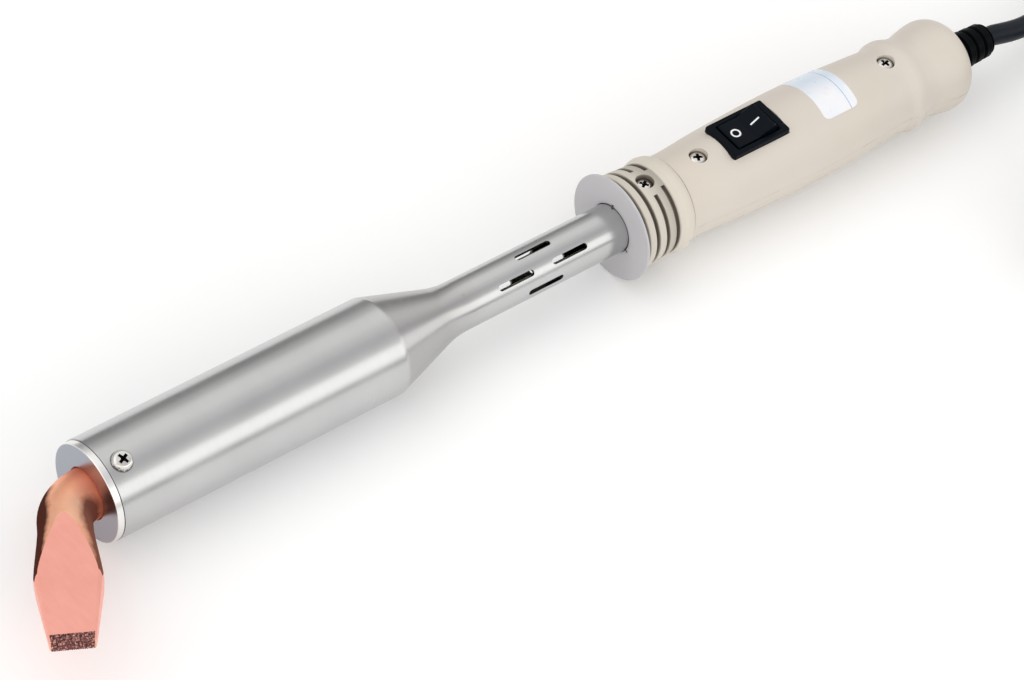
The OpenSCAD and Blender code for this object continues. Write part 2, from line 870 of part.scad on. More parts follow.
module switch_rocker() {
    width = rocker_hole_w - 0.6;
    color("#161719")
        place()
            translate([switch_x, 0, pivot_z]) {
                rotate([90, 0, 0])
                    linear_extrude(height = width, center = true)
                        rocker_outline();
                rotate([90, 0, 0])
                    cylinder(r = trunnion_r, h = rocker_hole_w + 0.9, center = true);
            }
}

terminal_x = [-2, 6];
blade_top_z = seat_z - switch_depth + 2.6;
blade_end_z = -7;
sleeve_len = 7;

module switch_terminals() {
    color("#c9b27a")
        place()
            for (x = terminal_x)
                translate([switch_x + x - terminal_t / 2, -terminal_w / 2, blade_end_z])
                    cube([terminal_t, terminal_w, blade_top_z - blade_end_z]);
}

module spade_sleeves() {
    wall = 0.7;
    low = blade_end_z - 2;
    color("#b9c4cc")
        place()
            for (x = terminal_x)
                translate([switch_x + x, 0, low])
                    difference() {
                        translate([-terminal_t / 2 - wall, -terminal_w / 2 - wall, 0])
                            cube([terminal_t + 2 * wall, terminal_w + 2 * wall, sleeve_len]);
                        translate([-terminal_t / 2 - seat_gap, -terminal_w / 2 - seat_gap, 1.9])
                            cube([terminal_t + 2 * seat_gap, terminal_w + 2 * seat_gap, sleeve_len]);
                    }
}

// Wiring inside the grip
wire_r = 0.9;
wire_bend = 1.8;
crimp_r = 1.7;
crimp_len = 6.5;
crimp_start = neck_end + 1.6;
lead_y = lead_gap / 2;
lead_z = -1.5;
jacket_x = rear_screw_x + 9;
sleeve_low = blade_end_z - 2;
front_blade = switch_x + terminal_x[0];
rear_blade = switch_x + terminal_x[1];

module crimp_sleeves() {
    color("#b9c4cc")
        place()
            for (s = [-1, 1])
                translate([0, s * lead_y, lead_z])
                    ring(crimp_start, crimp_start + crimp_len, crimp_r, wire_r + seat_gap);
}

module wire(points) {
    swept(rounded_route(points, wire_bend, 3), wire_r, 8);
}

// Stops of the wires' routes: the fan at the cord's end, the runs beside and below the switch
fan_len = 6;
fan_side = 3.9;
behind_switch = 21;
neutral_side = 6.6;
neutral_low = -4;
earth_side = 7.6;
earth_low = -8;
live_low = -11.4;
loop_len = 9;
core_start = crimp_start + crimp_len / 2;
core_out = crimp_start + crimp_len + 1.3;

module live_wires() {
    // Heater to the front terminal, and cord to the rear terminal
    color("#7a4a2c")
        place() {
            wire([
                [core_start, -lead_y, lead_z], [core_out, -lead_y, lead_z],
                [core_out, -lead_y, live_low], [front_blade, 0, live_low],
                [front_blade, 0, sleeve_low]
            ]);
            wire([
                [jacket_x, -2.1, 0.9], [jacket_x - 2, -2.1, 0.9], [jacket_x - fan_len, -fan_side, 1.2],
                [wiring_end, -fan_side, 1.2], [rear_blade + loop_len, -fan_side / 2, live_low],
                [rear_blade, 0, live_low], [rear_blade, 0, sleeve_low]
            ]);
        }
}

module neutral_wire() {
    color("#3f6fb0")
        place()
            wire([
                [jacket_x, 2.1, 0.9], [jacket_x - 2, 2.1, 0.9], [jacket_x - fan_len, fan_side, 1.2],
                [wiring_end, fan_side, 1.2], [switch_x + behind_switch, neutral_side, neutral_low],
                [core_out + fan_side, neutral_side, neutral_low], [core_out, lead_y, lead_z],
                [core_start, lead_y, lead_z]
            ]);
}

tag_x = front_screw_x + 2.2;
tag_len = 9.5;
tag_z = -neck_in_r + 0.25;

module earth_wire() {
    tag_end = tag_x + tag_len;
    tag_out = tag_end + 2.4;
    color("#6f9a3a")
        place()
            wire([
                [jacket_x, 1.2, -2.1], [jacket_x - 2, 1.2, -2.1], [jacket_x - fan_len, fan_side, -3.2],
                [wiring_end, fan_side, -3.2], [switch_x + behind_switch, earth_side, earth_low],
                [tag_out, earth_side, earth_low], [tag_out, 0, tag_z + 0.3], [tag_end, 0, tag_z + 0.3]
            ]);
}

module earth_tag() {
    // A strip welded inside the end of the neck
    color("#c9b27a")
        place()
            translate([tag_x, -1.5, tag_z])
                cube([tag_len, 3, 0.6]);
}

// Cord inside the grip, its clamp and its strain relief
module cord_lead_in() {
    color("#1a1a1a")
        place()
            rod(jacket_x, relief_end, cord_r);
}

module cord_clamp() {
    color("#2a2a2c")
        place()
            difference() {
                translate([clamp_bar_x - 3.5, -clamp_bar_w / 2, post_z])
                    cube([7, clamp_bar_w, clamp_bar_t]);
                rod(clamp_bar_x - 10, clamp_bar_x + 10, cord_r + seat_gap);
                for (s = [-1, 1])
                    translate([clamp_bar_x, s * clamp_screw_y, 0])
                        cylinder(r = clamp_thread_r + fit_gap, h = 20);
            }
}

module cord_clamp_screws() {
    color("#d4d4d4")
        place()
            for (s = [-1, 1])
                translate([clamp_bar_x, s * clamp_screw_y, post_z + clamp_bar_t])
                    difference() {
                        union() {
                            cylinder(r = clamp_head_r, h = 1.3);
                            translate([0, 0, -clamp_screw_len])
                                cylinder(r = clamp_thread_r, h = clamp_screw_len + tiny);
                        }
                        translate([-clamp_head_r, -0.3, 0.7])
                            cube([2 * clamp_head_r, 0.6, 1]);
                    }
}

module strain_relief() {
    ribs = 4;
    pitch = relief_out / (ribs + 0.2);
    base_r = relief_d / 2;
    end_r = relief_tip_d / 2;
    groove = 0.9;
    color("#141415")
        place()
            turned(concat(
                [[flange_x + seat_gap, cord_r + seat_gap], [flange_x + seat_gap, flange_room_r - fit_gap]],
                [[flange_x + 4, flange_room_r - fit_gap], [flange_x + 4, relief_hole_d / 2 - fit_gap]],
                [[grip_end + 0.3, relief_hole_d / 2 - fit_gap], [grip_end + 0.3, base_r]],
                [
                    for (i = [0:ribs - 1])
                        let (
                            x = grip_end + 0.3 + i * pitch,
                            r = base_r + (end_r - base_r) * i / (ribs - 1)
                        )
                        for (q = [
                            [x + 0.2, r], [x + pitch - 1.4, r],
                            [x + pitch - 1, r - groove], [x + pitch - 0.2, r - groove]
                        ]) q
                ],
                [[relief_end - 1, end_r - groove + 0.1], [relief_end, cord_r + 1]],
                [[relief_end, cord_r + seat_gap]]
            ));
}

// Cord outside the grip, in the row's own frame: it lies on the surface that the tool lies on.
// It sags where it leaves the strain relief, comes down to one side and joins the coil's outer turn.
cord_points = [
    [188.6, 16, 16.6], [192, 15.9, 16.4], [196, 15.4, 15.7], [201, 15, 14.8], [207, 15.2, 13.8],
    [214, 16.5, 12.4], [222, 18.9, 10.5], [231, 22.1, 8.2], [240, 25.1, 6.1], [248, 27.1, 4.7],
    [255, 27.9, 4.1], [261.5, 28, 4.05]
];
// From the coil's upper layer to the plug, which lies beside the coil
tail_points = [
    [261.5, -64.8, 11.25], [259.5, -64.75, 11.3], [255, -64.3, 11.8], [250, -63.3, 13],
    [244.7, -61.6, 14.9], [239.5, -60, 16.8], [234.5, -59, 18], [230, -58.5, 18.5],
    [228, -58.5, 18.5]
];
cord_rest = tie_t + 0.3 + cord_r;
coil_out_r = coil_r + coil_pitch * coil_turns / 2;
coil_x = 268;
coil_entry_y = 28;
coil_y = coil_entry_y - coil_out_r;
plug_r = plug_d / 2;
plug_y = -58.5;
tail_z = cord_rest + coil_pitch;

module supply_cord() {
    color("#1a1a1a")
        swept(cord_points, cord_r, 10);
}

module cord_tail() {
    color("#1a1a1a")
        swept(tail_points, cord_r, 10);
}

// One unbroken tube that spirals in on the floor, climbs a layer and spirals out again
loop_rings = 24;
function ramp(t) = t < 0 ? 0 : t > 1 ? 1 : t * t * (3 - 2 * t);
function coil_point(t) =
    let (
        r = coil_out_r - coil_pitch * (coil_turns - abs(t - coil_turns)),
        z = cord_rest + coil_pitch * ramp((t - coil_turns + 0.25) / 0.5),
        a = 90 - 360 * t
    )
    [coil_x + r * cos(a), coil_y + r * sin(a), z];
coil_rings = round(2 * coil_turns * loop_rings);
coil_path = [for (i = [0:coil_rings]) coil_point(i / loop_rings)];
coil_gap = min([
    for (i = [0:coil_rings - loop_rings / 2 - 1], j = [i + loop_rings / 2:coil_rings])
        norm(coil_path[i] - coil_path[j])
]) - cord_d;
echo(str("least gap in the coil: ", coil_gap, " mm"));

module cord_coil() {
    color("#1a1a1a")
        swept(
            concat(
                [coil_path[0] - [cord_d, 0, 0]],
                coil_path,
                [coil_path[coil_rings] - [cord_d, 0, 0]]
            ),
            cord_r, 6
        );
}

module coil_tie() {
    // Round the side of the coil that lies furthest along X
    inner_r = coil_r - coil_pitch - cord_r - 0.8;
    outer_r = coil_r + coil_pitch + cord_r + 1.4;
    high = tail_z + cord_r + 0.3;
    color("#2c2c30")
        translate([coil_x, coil_y + tie_w / 2, 0])
            rotate([90, 0, 0])
                linear_extrude(height = tie_w)
                    difference() {
                        translate([inner_r - tie_t, 0])
                            square([outer_r - inner_r + 2 * tie_t, high + tie_t]);
                        translate([inner_r, tie_t])
                            square([outer_r - inner_r, high - tie_t]);
                    }
}

// Plug: lies on its side next to the coil, with its pins towards -X
plug_end = 228 - plug_boot_len;
plug_face = plug_end - plug_len;
clip_w = 5;
clip_len = 13;
clip_deep = 1.6;
pin_root_len = 8;
pin_root_r = 2;

module at_plug() {
    translate([plug_face, plug_y, plug_r])
        children();
}

module plug_body() {
    ribs = 5;
    boot_r = 6.4;
    boot_tip_r = cord_r + 1.1;
    pitch = plug_boot_len / ribs;
    color("#1d1d1f")
        at_plug()
            difference() {
                turned(concat(
                    [[0, 0], [0, plug_r - 0.8], [0.8, plug_r], [plug_front_len - 1, plug_r]],
                    [[plug_front_len, plug_r - 1], [plug_front_len + 3, plug_r - 4.5]],
                    [[plug_front_len + 12, plug_r - 5.5], [plug_len - 2, boot_r + 3]],
                    [[plug_len, boot_r + 0.6]],
                    [
                        for (i = [0:ribs - 1])
                            let (
                                x = plug_len + i * pitch,
                                r = boot_r + (boot_tip_r - boot_r) * i / (ribs - 1)
                            )
                            for (q = [
                                [x + 0.3, r], [x + pitch - 2, r],
                                [x + pitch - 1.6, r - 0.8], [x + pitch - 0.4, r - 0.8]
                            ]) q
                    ],
                    [[plug_len + plug_boot_len, boot_tip_r - 0.8], [plug_len + plug_boot_len, 0]]
                ));
                // Recesses for the earth contacts, above and below
                for (s = [-1, 1])
                    translate([-1, -clip_w / 2, s > 0 ? plug_r - clip_deep : -plug_r - 1])
                        cube([clip_len + 1, clip_w, clip_deep + 1]);
                for (s = [-1, 1])
                    rod(-1, pin_root_len, pin_root_r + seat_gap, y = s * pin_gap / 2);
            }
}

module plug_pins() {
    color("#d6d3cb")
        at_plug()
            for (s = [-1, 1])
                translate([0, s * pin_gap / 2, 0])
                    turned([
                        [pin_root_len - seat_gap, 0], [pin_root_len - seat_gap, pin_root_r],
                        [-seat_gap, pin_root_r], [-seat_gap, pin_d / 2], [1.6 - pin_len, pin_d / 2],
                        [0.5 - pin_len, pin_d / 2 - 0.5], [-pin_len, pin_d / 2 - 1.4], [-pin_len, 0]
                    ]);
}

module earth_contacts() {
    strip_t = 0.8;
    strip_z = plug_r - clip_deep + seat_gap + strip_t / 2;
    color("#c9b27a")
        at_plug()
            for (s = [-1, 1])
                translate([0.6, -clip_w / 2 + 0.4, s * strip_z - strip_t / 2])
                    cube([clip_len - 1.2, clip_w - 0.8, strip_t]);
}

bit();
nose_cap();
clamp_screws();
barrel();
heater_tube();
inner_mica();
heater_winding();
outer_mica();
heat_jacket();
ceramic_disc();
heater_leads();
lead_beads();
heat_collar();
collar_screw();
grip_upper();
grip_lower();
housing_screws();
label();
switch_housing();
switch_rocker();
switch_terminals();
spade_sleeves();
crimp_sleeves();
live_wires();
neutral_wire();
earth_wire();
earth_tag();
cord_lead_in();
cord_clamp();
cord_clamp_screws();
strain_relief();
supply_cord();
cord_coil();
cord_tail();
coil_tie();
plug_body();
plug_pins();
earth_contacts();
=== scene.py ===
"""Looks for a heavy electric soldering iron: a bent copper bit in a steel barrel, a finned heat
collar, a two-part plastic grip with a rocker switch, and a supply cord wound up behind it.

Shapes are drawn in millimetres about the tool's own axis, as in the CAD model, with x = 0 at the
front face of the nose cap, and settle() brings them to metres in the row frame.
"""

import math

import bmesh
import bpy
from mathutils import Matrix, Vector


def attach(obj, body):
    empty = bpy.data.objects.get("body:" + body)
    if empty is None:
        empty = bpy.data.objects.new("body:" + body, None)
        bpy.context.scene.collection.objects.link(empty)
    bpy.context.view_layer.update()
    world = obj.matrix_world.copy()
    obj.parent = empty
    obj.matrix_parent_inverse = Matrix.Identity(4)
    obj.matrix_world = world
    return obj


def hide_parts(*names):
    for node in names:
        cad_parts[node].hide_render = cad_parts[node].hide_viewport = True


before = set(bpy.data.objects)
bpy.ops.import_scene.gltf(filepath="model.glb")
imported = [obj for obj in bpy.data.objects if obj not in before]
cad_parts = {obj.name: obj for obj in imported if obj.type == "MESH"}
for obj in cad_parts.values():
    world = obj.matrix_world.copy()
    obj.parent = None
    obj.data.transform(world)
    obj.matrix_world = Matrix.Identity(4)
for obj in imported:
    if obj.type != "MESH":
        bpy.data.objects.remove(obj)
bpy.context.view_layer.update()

MM = 0.001
ORIGIN = Vector((146.0, -16.0, -16.6))
HANDLE, BIT, ROCKER = "handle", "bit", "rocker"
bpy.context.scene.view_settings.view_transform = "Standard"


# ---------------------------------------------------------------- camera

def make_camera():
    az, el, roll = math.radians(-47.42), math.radians(47.95), math.radians(11.63)
    back = Vector((math.sin(az) * math.cos(el), -math.cos(az) * math.cos(el), math.sin(el)))
    right0 = Vector((math.cos(az), math.sin(az), 0))
    up0 = back.cross(right0)
    right = math.cos(roll) * right0 + math.sin(roll) * up0
    up = -math.sin(roll) * right0 + math.cos(roll) * up0
    data = bpy.data.cameras.new("Camera")
    data.sensor_fit = "HORIZONTAL"
    data.sensor_width = 36
    data.lens = 143.85
    data.clip_start, data.clip_end = 0.05, 40
    cam = bpy.data.objects.new("Camera", data)
    cam.matrix_world = Matrix((
        (right.x, up.x, back.x, 0), (right.y, up.y, back.y, 0), (right.z, up.z, back.z, 0), (0, 0, 0, 1)
    ))
    cam.location = Vector((0.00611, 0.016, -0.0135)) + back * 1.1889
    bpy.context.scene.collection.objects.link(cam)
    bpy.context.scene.camera = cam


make_camera()


# ---------------------------------------------------------------- materials

class Mat:
    """A node material with small helpers for procedural detail in the row frame."""

    def __init__(self, name, color, rough, metal=0.0, spec=0.5, coat=0.0):
        self.m = bpy.data.materials.new(name)
        self.m.use_nodes = True
        self.nt = self.m.node_tree
        self.b = self.nt.nodes["Principled BSDF"]
        self.b.inputs["Base Color"].default_value = (*color, 1)
        self.b.inputs["Roughness"].default_value = rough
        self.b.inputs["Metallic"].default_value = metal
        self.b.inputs["Specular IOR Level"].default_value = spec
        self.b.inputs["Coat Weight"].default_value = coat
        self.m.diffuse_color = (*color, 1)
        self.coord = self.nt.nodes.new("ShaderNodeTexCoord").outputs["Object"]
        self.normal = None

    def new(self, kind, **values):
        n = self.nt.nodes.new(kind)
        for k, v in values.items():
            setattr(n, k, v)
        return n

    def put(self, socket, value):
        if isinstance(value, bpy.types.NodeSocket):
            self.nt.links.new(value, socket)
        else:
            socket.default_value = value

    def math(self, op, a, b=0.0, c=0.0):
        n = self.new("ShaderNodeMath", operation=op)
        for s, v in zip(n.inputs, (a, b, c)):
            self.put(s, v)
        return n.outputs[0]

    def mapped(self, scale, turn=(0, 0, 0), move=(0, 0, 0)):
        n = self.new("ShaderNodeMapping")
        self.put(n.inputs["Vector"], self.coord)
        n.inputs["Scale"].default_value = scale
        n.inputs["Rotation"].default_value = turn
        n.inputs["Location"].default_value = move
        return n.outputs[0]

    def noise(self, scale, detail=2.0, rough=0.5, stretch=(1, 1, 1), distort=0.0):
        n = self.new("ShaderNodeTexNoise")
        self.put(n.inputs["Vector"], self.mapped(stretch))
        n.inputs["Scale"].default_value = scale
        n.inputs["Detail"].default_value = detail
        n.inputs["Roughness"].default_value = rough
        n.inputs["Distortion"].default_value = distort
        return n.outputs["Fac"]

    def cells(self, scale, stretch=(1, 1, 1), feature="F1"):
        n = self.new("ShaderNodeTexVoronoi", feature=feature)
        self.put(n.inputs["Vector"], self.mapped(stretch))
        n.inputs["Scale"].default_value = scale
        return n.outputs["Distance"]

    def span(self, value, a, b, lo=0.0, hi=1.0):
        n = self.new("ShaderNodeMapRange", clamp=True)
        self.put(n.inputs["Value"], value)
        n.inputs["From Min"].default_value = a
        n.inputs["From Max"].default_value = b
        n.inputs["To Min"].default_value = lo
        n.inputs["To Max"].default_value = hi
        return n.outputs["Result"]

    def ramp(self, value, stops, ease="LINEAR"):
        n = self.new("ShaderNodeValToRGB")
        n.color_ramp.interpolation = ease
        e = n.color_ramp.elements
        while len(e) < len(stops):
            e.new(0.5)
        for s, (at, c) in zip(e, stops):
            s.position = at
            s.color = (*c, 1)
        self.put(n.inputs["Fac"], value)
        return n.outputs["Color"]

    def mix(self, fac, a, b, kind="MIX"):
        n = self.new("ShaderNodeMix", data_type="RGBA", blend_type=kind)
        self.put(n.inputs[0], fac)
        for s, v in zip((n.inputs[6], n.inputs[7]), (a, b)):
            self.put(s, v if isinstance(v, bpy.types.NodeSocket) else (*v, 1))
        return n.outputs[2]

    def color(self, socket):
        self.put(self.b.inputs["Base Color"], socket)
        return self

    def rough(self, socket):
        self.put(self.b.inputs["Roughness"], socket)
        return self

    def bump(self, height, depth, strength=1.0):
        """depth is the height of the relief, in metres."""
        n = self.new("ShaderNodeBump")
        n.inputs["Strength"].default_value = strength
        n.inputs["Distance"].default_value = depth
        self.put(n.inputs["Height"], height)
        if self.normal is not None:
            self.put(n.inputs["Normal"], self.normal)
        self.normal = n.outputs["Normal"]
        self.put(self.b.inputs["Normal"], self.normal)
        return self

    def facing(self, direction, lo, hi):
        """1 where the surface faces a direction, told by its object-space normal."""
        n = self.new("ShaderNodeVectorMath", operation="DOT_PRODUCT")
        self.put(n.inputs[0], self.nt.nodes["Texture Coordinate"].outputs["Normal"])
        n.inputs[1].default_value = Vector(direction).normalized()
        return self.span(n.outputs["Value"], lo, hi)

    def near(self, point, lo, hi, upright=False):
        """1 within lo of a point in the row frame, 0 beyond hi; upright measures from the line over it."""
        gap = self.new("ShaderNodeVectorMath", operation="SUBTRACT")
        self.put(gap.inputs[0], self.coord)
        gap.inputs[1].default_value = point
        flat = self.new("ShaderNodeVectorMath", operation="MULTIPLY")
        self.put(flat.inputs[0], gap.outputs[0])
        flat.inputs[1].default_value = (1, 1, 0 if upright else 1)
        size = self.new("ShaderNodeVectorMath", operation="LENGTH")
        self.put(size.inputs[0], flat.outputs[0])
        return self.span(size.outputs["Value"], lo, hi, 1.0, 0.0)

    def xyz(self):
        n = self.new("ShaderNodeSeparateXYZ")
        self.put(n.inputs[0], self.coord)
        return n.outputs

    def radius(self):
        """Distance from the tool's axis, in millimetres."""
        _, y, z = self.xyz()
        dy = self.math("SUBTRACT", y, 0.016)
        dz = self.math("SUBTRACT", z, 0.0166)
        r = self.math("SQRT", self.math("ADD", self.math("MULTIPLY", dy, dy), self.math("MULTIPLY", dz, dz)))
        return self.math("MULTIPLY", r, 1000.0)

    def edge_wear(self, lo=0.51, hi=0.6):
        """1 on sharp outer edges of a dense mesh, from its pointiness."""
        g = self.new("ShaderNodeNewGeometry")
        return self.span(g.outputs["Pointiness"], lo, hi)


def shade(c, k):
    return tuple(min(1.0, v * k) for v in c)


MATS = {}
# the bit's two flanks, which copper_round paints dark as painted shade: the outer side of the bend, and the side that
# faces the grip
LEFT_FLANK = (-0.80, 0.57, -0.18)
RIGHT_FLANK = (0.80, -0.57, 0.18)


def steel(name, color, rough, turned=1.0, pits=False, extra=None):
    """Turned or drawn metal: fine lines round the axis, and a slight change of gloss."""
    m = Mat(name, color, rough, metal=1.0)
    lines = m.noise(2600, 2, 0.6, stretch=(1, 0.03, 0.03))
    cloud = m.noise(45, 3, 0.55)
    tone = m.ramp(cloud, [(0.3, shade(color, 0.955)), (0.7, shade(color, 1.03))])
    tone = m.mix(m.span(lines, 0.3, 0.7, 0.0, 0.1 * turned), tone, shade(color, 0.86))
    if pits:
        x = m.xyz()[0]
        spot = m.span(m.cells(420), 0.05, 0.1, 1.0, 0.0)
        few = m.span(m.noise(260, 1), 0.6, 0.66)
        where = m.math("MULTIPLY", m.span(x, -0.05, -0.04), m.span(x, -0.012, 0.0, 1.0, 0.0))
        dots = m.math("MULTIPLY", m.math("MULTIPLY", spot, few), where)
        tone = m.mix(m.math("MULTIPLY", dots, 0.75), tone, (0.12, 0.10, 0.08))
        warm = m.math("MULTIPLY", where, m.span(m.noise(60, 2), 0.45, 0.7, 0.0, 0.35))
        tone = m.mix(warm, tone, (color[0] * 1.02, color[1] * 0.97, color[2] * 0.88))
    if extra:
        tone = extra(m, tone)
    m.color(tone)
    m.rough(m.math("ADD", m.span(cloud, 0.3, 0.7, rough - 0.02, rough + 0.03),
                   m.span(lines, 0.2, 0.8, -0.02 * turned, 0.02 * turned)))
    m.bump(lines, 0.000004 * turned, 0.5)
    return m


def plastic(name, color, rough, grain=1.0, spec=0.5, mottle=0.03, extra=None):
    """Moulded plastic: spark-eroded grain and faint mottling."""
    m = Mat(name, color, rough, spec=spec)
    fine = m.noise(5200, 2, 0.6)
    broad = m.noise(70, 3, 0.5)
    tone = m.ramp(broad, [(0.3, shade(color, 1 - mottle)), (0.7, shade(color, 1 + mottle))])
    tone = m.mix(m.span(fine, 0.35, 0.65, 0.0, 0.05), tone, shade(color, 0.8))
    if extra:
        tone = extra(m, tone)
    m.color(tone)
    m.rough(m.math("ADD", m.span(fine, 0.3, 0.7, rough - 0.04, rough + 0.04), m.span(broad, 0.3, 0.7, -0.02, 0.03)))
    m.bump(fine, 0.000012 * grain, 0.6)
    m.bump(m.noise(420, 2, 0.5), 0.000012 * grain, 0.35)
    return m


def woven(name, color, rough, pitch, depth=0.00008):
    """Fibre, mica or wound wire: fine crossing lines."""
    m = Mat(name, color, rough)
    a = m.new("ShaderNodeTexWave", bands_direction="X")
    b = m.new("ShaderNodeTexWave", bands_direction="Z")
    for n in (a, b):
        m.put(n.inputs["Vector"], m.coord)
        n.inputs["Scale"].default_value = 1.0 / pitch / 6.283 * 2
        n.inputs["Distortion"].default_value = 0.6
        n.inputs["Detail"].default_value = 1.0
    both = m.math("MULTIPLY", a.outputs["Fac"], b.outputs["Fac"])
    tone = m.ramp(both, [(0.0, shade(color, 0.72)), (0.6, color), (1.0, shade(color, 1.12))])
    m.color(m.mix(m.span(m.noise(150, 3), 0.4, 0.7, 0.0, 0.35), tone, shade(color, 0.8)))
    m.rough(m.span(both, 0.0, 1.0, rough + 0.1, rough - 0.05))
    m.bump(both, depth, 0.6)
    return m


def barrel_tint(m, tone):
    """Painted shadow round each clamp screw's head, a painted darker reflection on the taper, and painted shade inside
    the tube.
    """
    # a dark ring of painted shadow round each clamp screw's head
    for a in (19, 199):
        t = math.radians(a)
        at = (-0.1391, 0.016 - 0.015 * math.sin(t), 0.0166 + 0.015 * math.cos(t))
        tone = m.mix(m.math("MULTIPLY", m.near(at, 0.00300, 0.00335), 0.85), tone, (0.05, 0.045, 0.04))
    # painted darker reflection: the taper is painted a darker grey
    x = m.xyz()[0]
    taper = m.math("MULTIPLY", m.span(x, -0.0486, -0.0470), m.span(x, -0.030, -0.014, 1.0, 0.0))
    tone = m.mix(m.math("MULTIPLY", taper, 0.55), tone, (0.34, 0.33, 0.325))
    # painted shade: the inside of the tube and of the neck is painted near-black
    r = m.radius()
    bore = m.math("MAXIMUM", m.span(r, 7.25, 7.45, 1.0, 0.0),
                  m.math("MULTIPLY", m.span(r, 14.2, 14.6, 1.0, 0.0), m.span(x, -0.0486, -0.0480, 1.0, 0.0)))
    return m.mix(m.math("MULTIPLY", bore, 0.9), tone, (0.03, 0.028, 0.025))


def cap_tint(m, tone):
    """The rim is painted bright as a painted highlight, and it is dark where it meets the barrel."""
    r = m.radius()
    x = m.xyz()[0]
    # painted highlight: the rim is painted nearly white
    tone = m.mix(m.span(r, 14.35, 14.6), tone, (0.86, 0.845, 0.825))
    return m.mix(m.math("MULTIPLY", m.span(x, -0.14405, -0.1438), 0.8), tone, (0.08, 0.075, 0.07))


def collar_tint(m, tone):
    """Dust and shade in the grooves; painted shade on the flange face, cooler and duller, and on the ring by the
    mouth, which is partly soot; painted shade in the seam at the back.
    """
    r = m.radius()
    x = m.xyz()[0]
    deep = m.span(r, 13.6, 14.5, 1.0, 0.0)
    behind = m.math("MULTIPLY", m.span(x, 0.03855, 0.0387), m.span(x, 0.0523, 0.0527, 1.0, 0.0))
    tone = m.mix(m.math("MULTIPLY", m.math("MULTIPLY", deep, behind), 0.9), tone, (0.085, 0.062, 0.042))
    fins = m.math("MULTIPLY", m.span(x, 0.0386, 0.0389), m.span(x, 0.0521, 0.0526, 1.0, 0.0))
    tone = m.mix(m.math("MULTIPLY", fins, 0.2), tone, (0.42, 0.39, 0.345))
    # painted shade: the flange face is painted cooler and duller
    face = m.span(x, 0.0384, 0.0389, 1.0, 0.0)
    inner = m.span(r, 8.2, 8.8, 1.0, 0.0)
    tone = m.mix(m.math("MULTIPLY", face, 0.8), tone, (0.50, 0.50, 0.54))
    # the ring by the mouth is darker: partly soot, partly painted shade
    front = m.span(x, 0.0390, 0.0392, 1.0, 0.0)
    tone = m.mix(m.math("MULTIPLY", m.math("MULTIPLY", inner, front), 0.35), tone, (0.36, 0.35, 0.37))
    # painted shade in the seam where the collar meets the grip
    tone = m.mix(m.math("MULTIPLY", m.span(x, 0.05815, 0.0583), 0.85), tone, (0.06, 0.05, 0.04))
    return screw_shade(m, tone, [0.0478])


def screw_shade(m, tone, places):
    """Shade and dust in the recesses round the screw heads on top."""
    deep = m.span(m.xyz()[2], 0.0166 + 0.0120, 0.0166 + 0.0128, 0.85, 0.0)
    for x in places:
        tone = m.mix(m.math("MULTIPLY", m.near((x, 0.016, 0), 0.0031, 0.0034, True), deep), tone, (0.07, 0.055, 0.045))
    return tone


def grip_tint(m, tone):
    """A hint of warm and cool across the moulding, and hand grime by the seam."""
    cool = m.span(m.noise(22, 2), 0.42, 0.62)
    tone = m.mix(m.math("MULTIPLY", cool, 0.35), tone, (0.66, 0.615, 0.565))
    y, z = m.xyz()[1:]
    seam = m.span(m.math("ABSOLUTE", m.math("SUBTRACT", z, 0.0166)), 0.0, 0.0006, 1.0, 0.0)
    mark = m.math("MULTIPLY", seam, m.span(m.noise(160, 2), 0.52, 0.62, 0.0, 0.28))
    tone = m.mix(mark, tone, (0.40, 0.33, 0.27))
    # painted shade in the seam where the grip meets the collar
    tone = m.mix(m.math("MULTIPLY", m.span(m.xyz()[0], 0.0583, 0.05855, 1.0, 0.0), 0.85), tone, (0.06, 0.05, 0.04))
    return screw_shade(m, tone, [0.0684, 0.1431])


def copper_round():
    """Round copper: bright where it was rubbed, deep red by the cap, both flanks painted dark brown as painted shade
    and darker reflection.
    """
    c = (1.0, 0.53, 0.35)
    m = Mat("bit_copper", c, 0.36, metal=1.0, spec=0.0)
    x, y, z = m.xyz()
    cloud = m.noise(70, 3, 0.6, distort=0.4)
    tone = m.ramp(cloud, [(0.3, (0.98, 0.42, 0.25)), (0.55, c), (0.75, (1.0, 0.62, 0.42))])
    near_cap = m.span(x, -0.1535, -0.1465)
    tone = m.mix(m.math("MULTIPLY", near_cap, 0.8), tone, (0.80, 0.17, 0.08))
    uneven = m.noise(210, 3, 0.6)
    # painted shade and darker reflection: both flanks are painted dark brown, duller and less metallic
    left = m.math("ADD", m.facing(LEFT_FLANK, 0.30, 0.72), m.span(uneven, 0.3, 0.7, -0.18, 0.12))
    left = m.math("MULTIPLY", m.span(left, 0.2, 0.7), m.span(x, -0.1535, -0.1570))
    right = m.math("ADD", m.facing(RIGHT_FLANK, 0.42, 0.88), m.span(uneven, 0.3, 0.7, -0.2, 0.1))
    right = m.span(right, 0.2, 0.8)
    tone = m.mix(m.math("MULTIPLY", left, 0.97), tone, (0.045, 0.010, 0.008))
    tone = m.mix(m.math("MULTIPLY", right, 0.9), tone, (0.12, 0.032, 0.024))
    flank_shade = m.math("MAXIMUM", left, right)
    drawn = m.noise(900, 2, 0.5, stretch=(0.12, 0.12, 1))
    m.color(tone)
    m.put(m.b.inputs["Metallic"], m.span(flank_shade, 0.0, 1.0, 0.62, 0.0))
    gloss = m.math("ADD", m.span(cloud, 0.3, 0.7, 0.32, 0.42), m.span(drawn, 0.3, 0.7, -0.02, 0.03))
    m.rough(m.math("ADD", gloss, m.math("MULTIPLY", flank_shade, 0.2)))
    m.bump(drawn, 0.000015, 0.4)
    return m


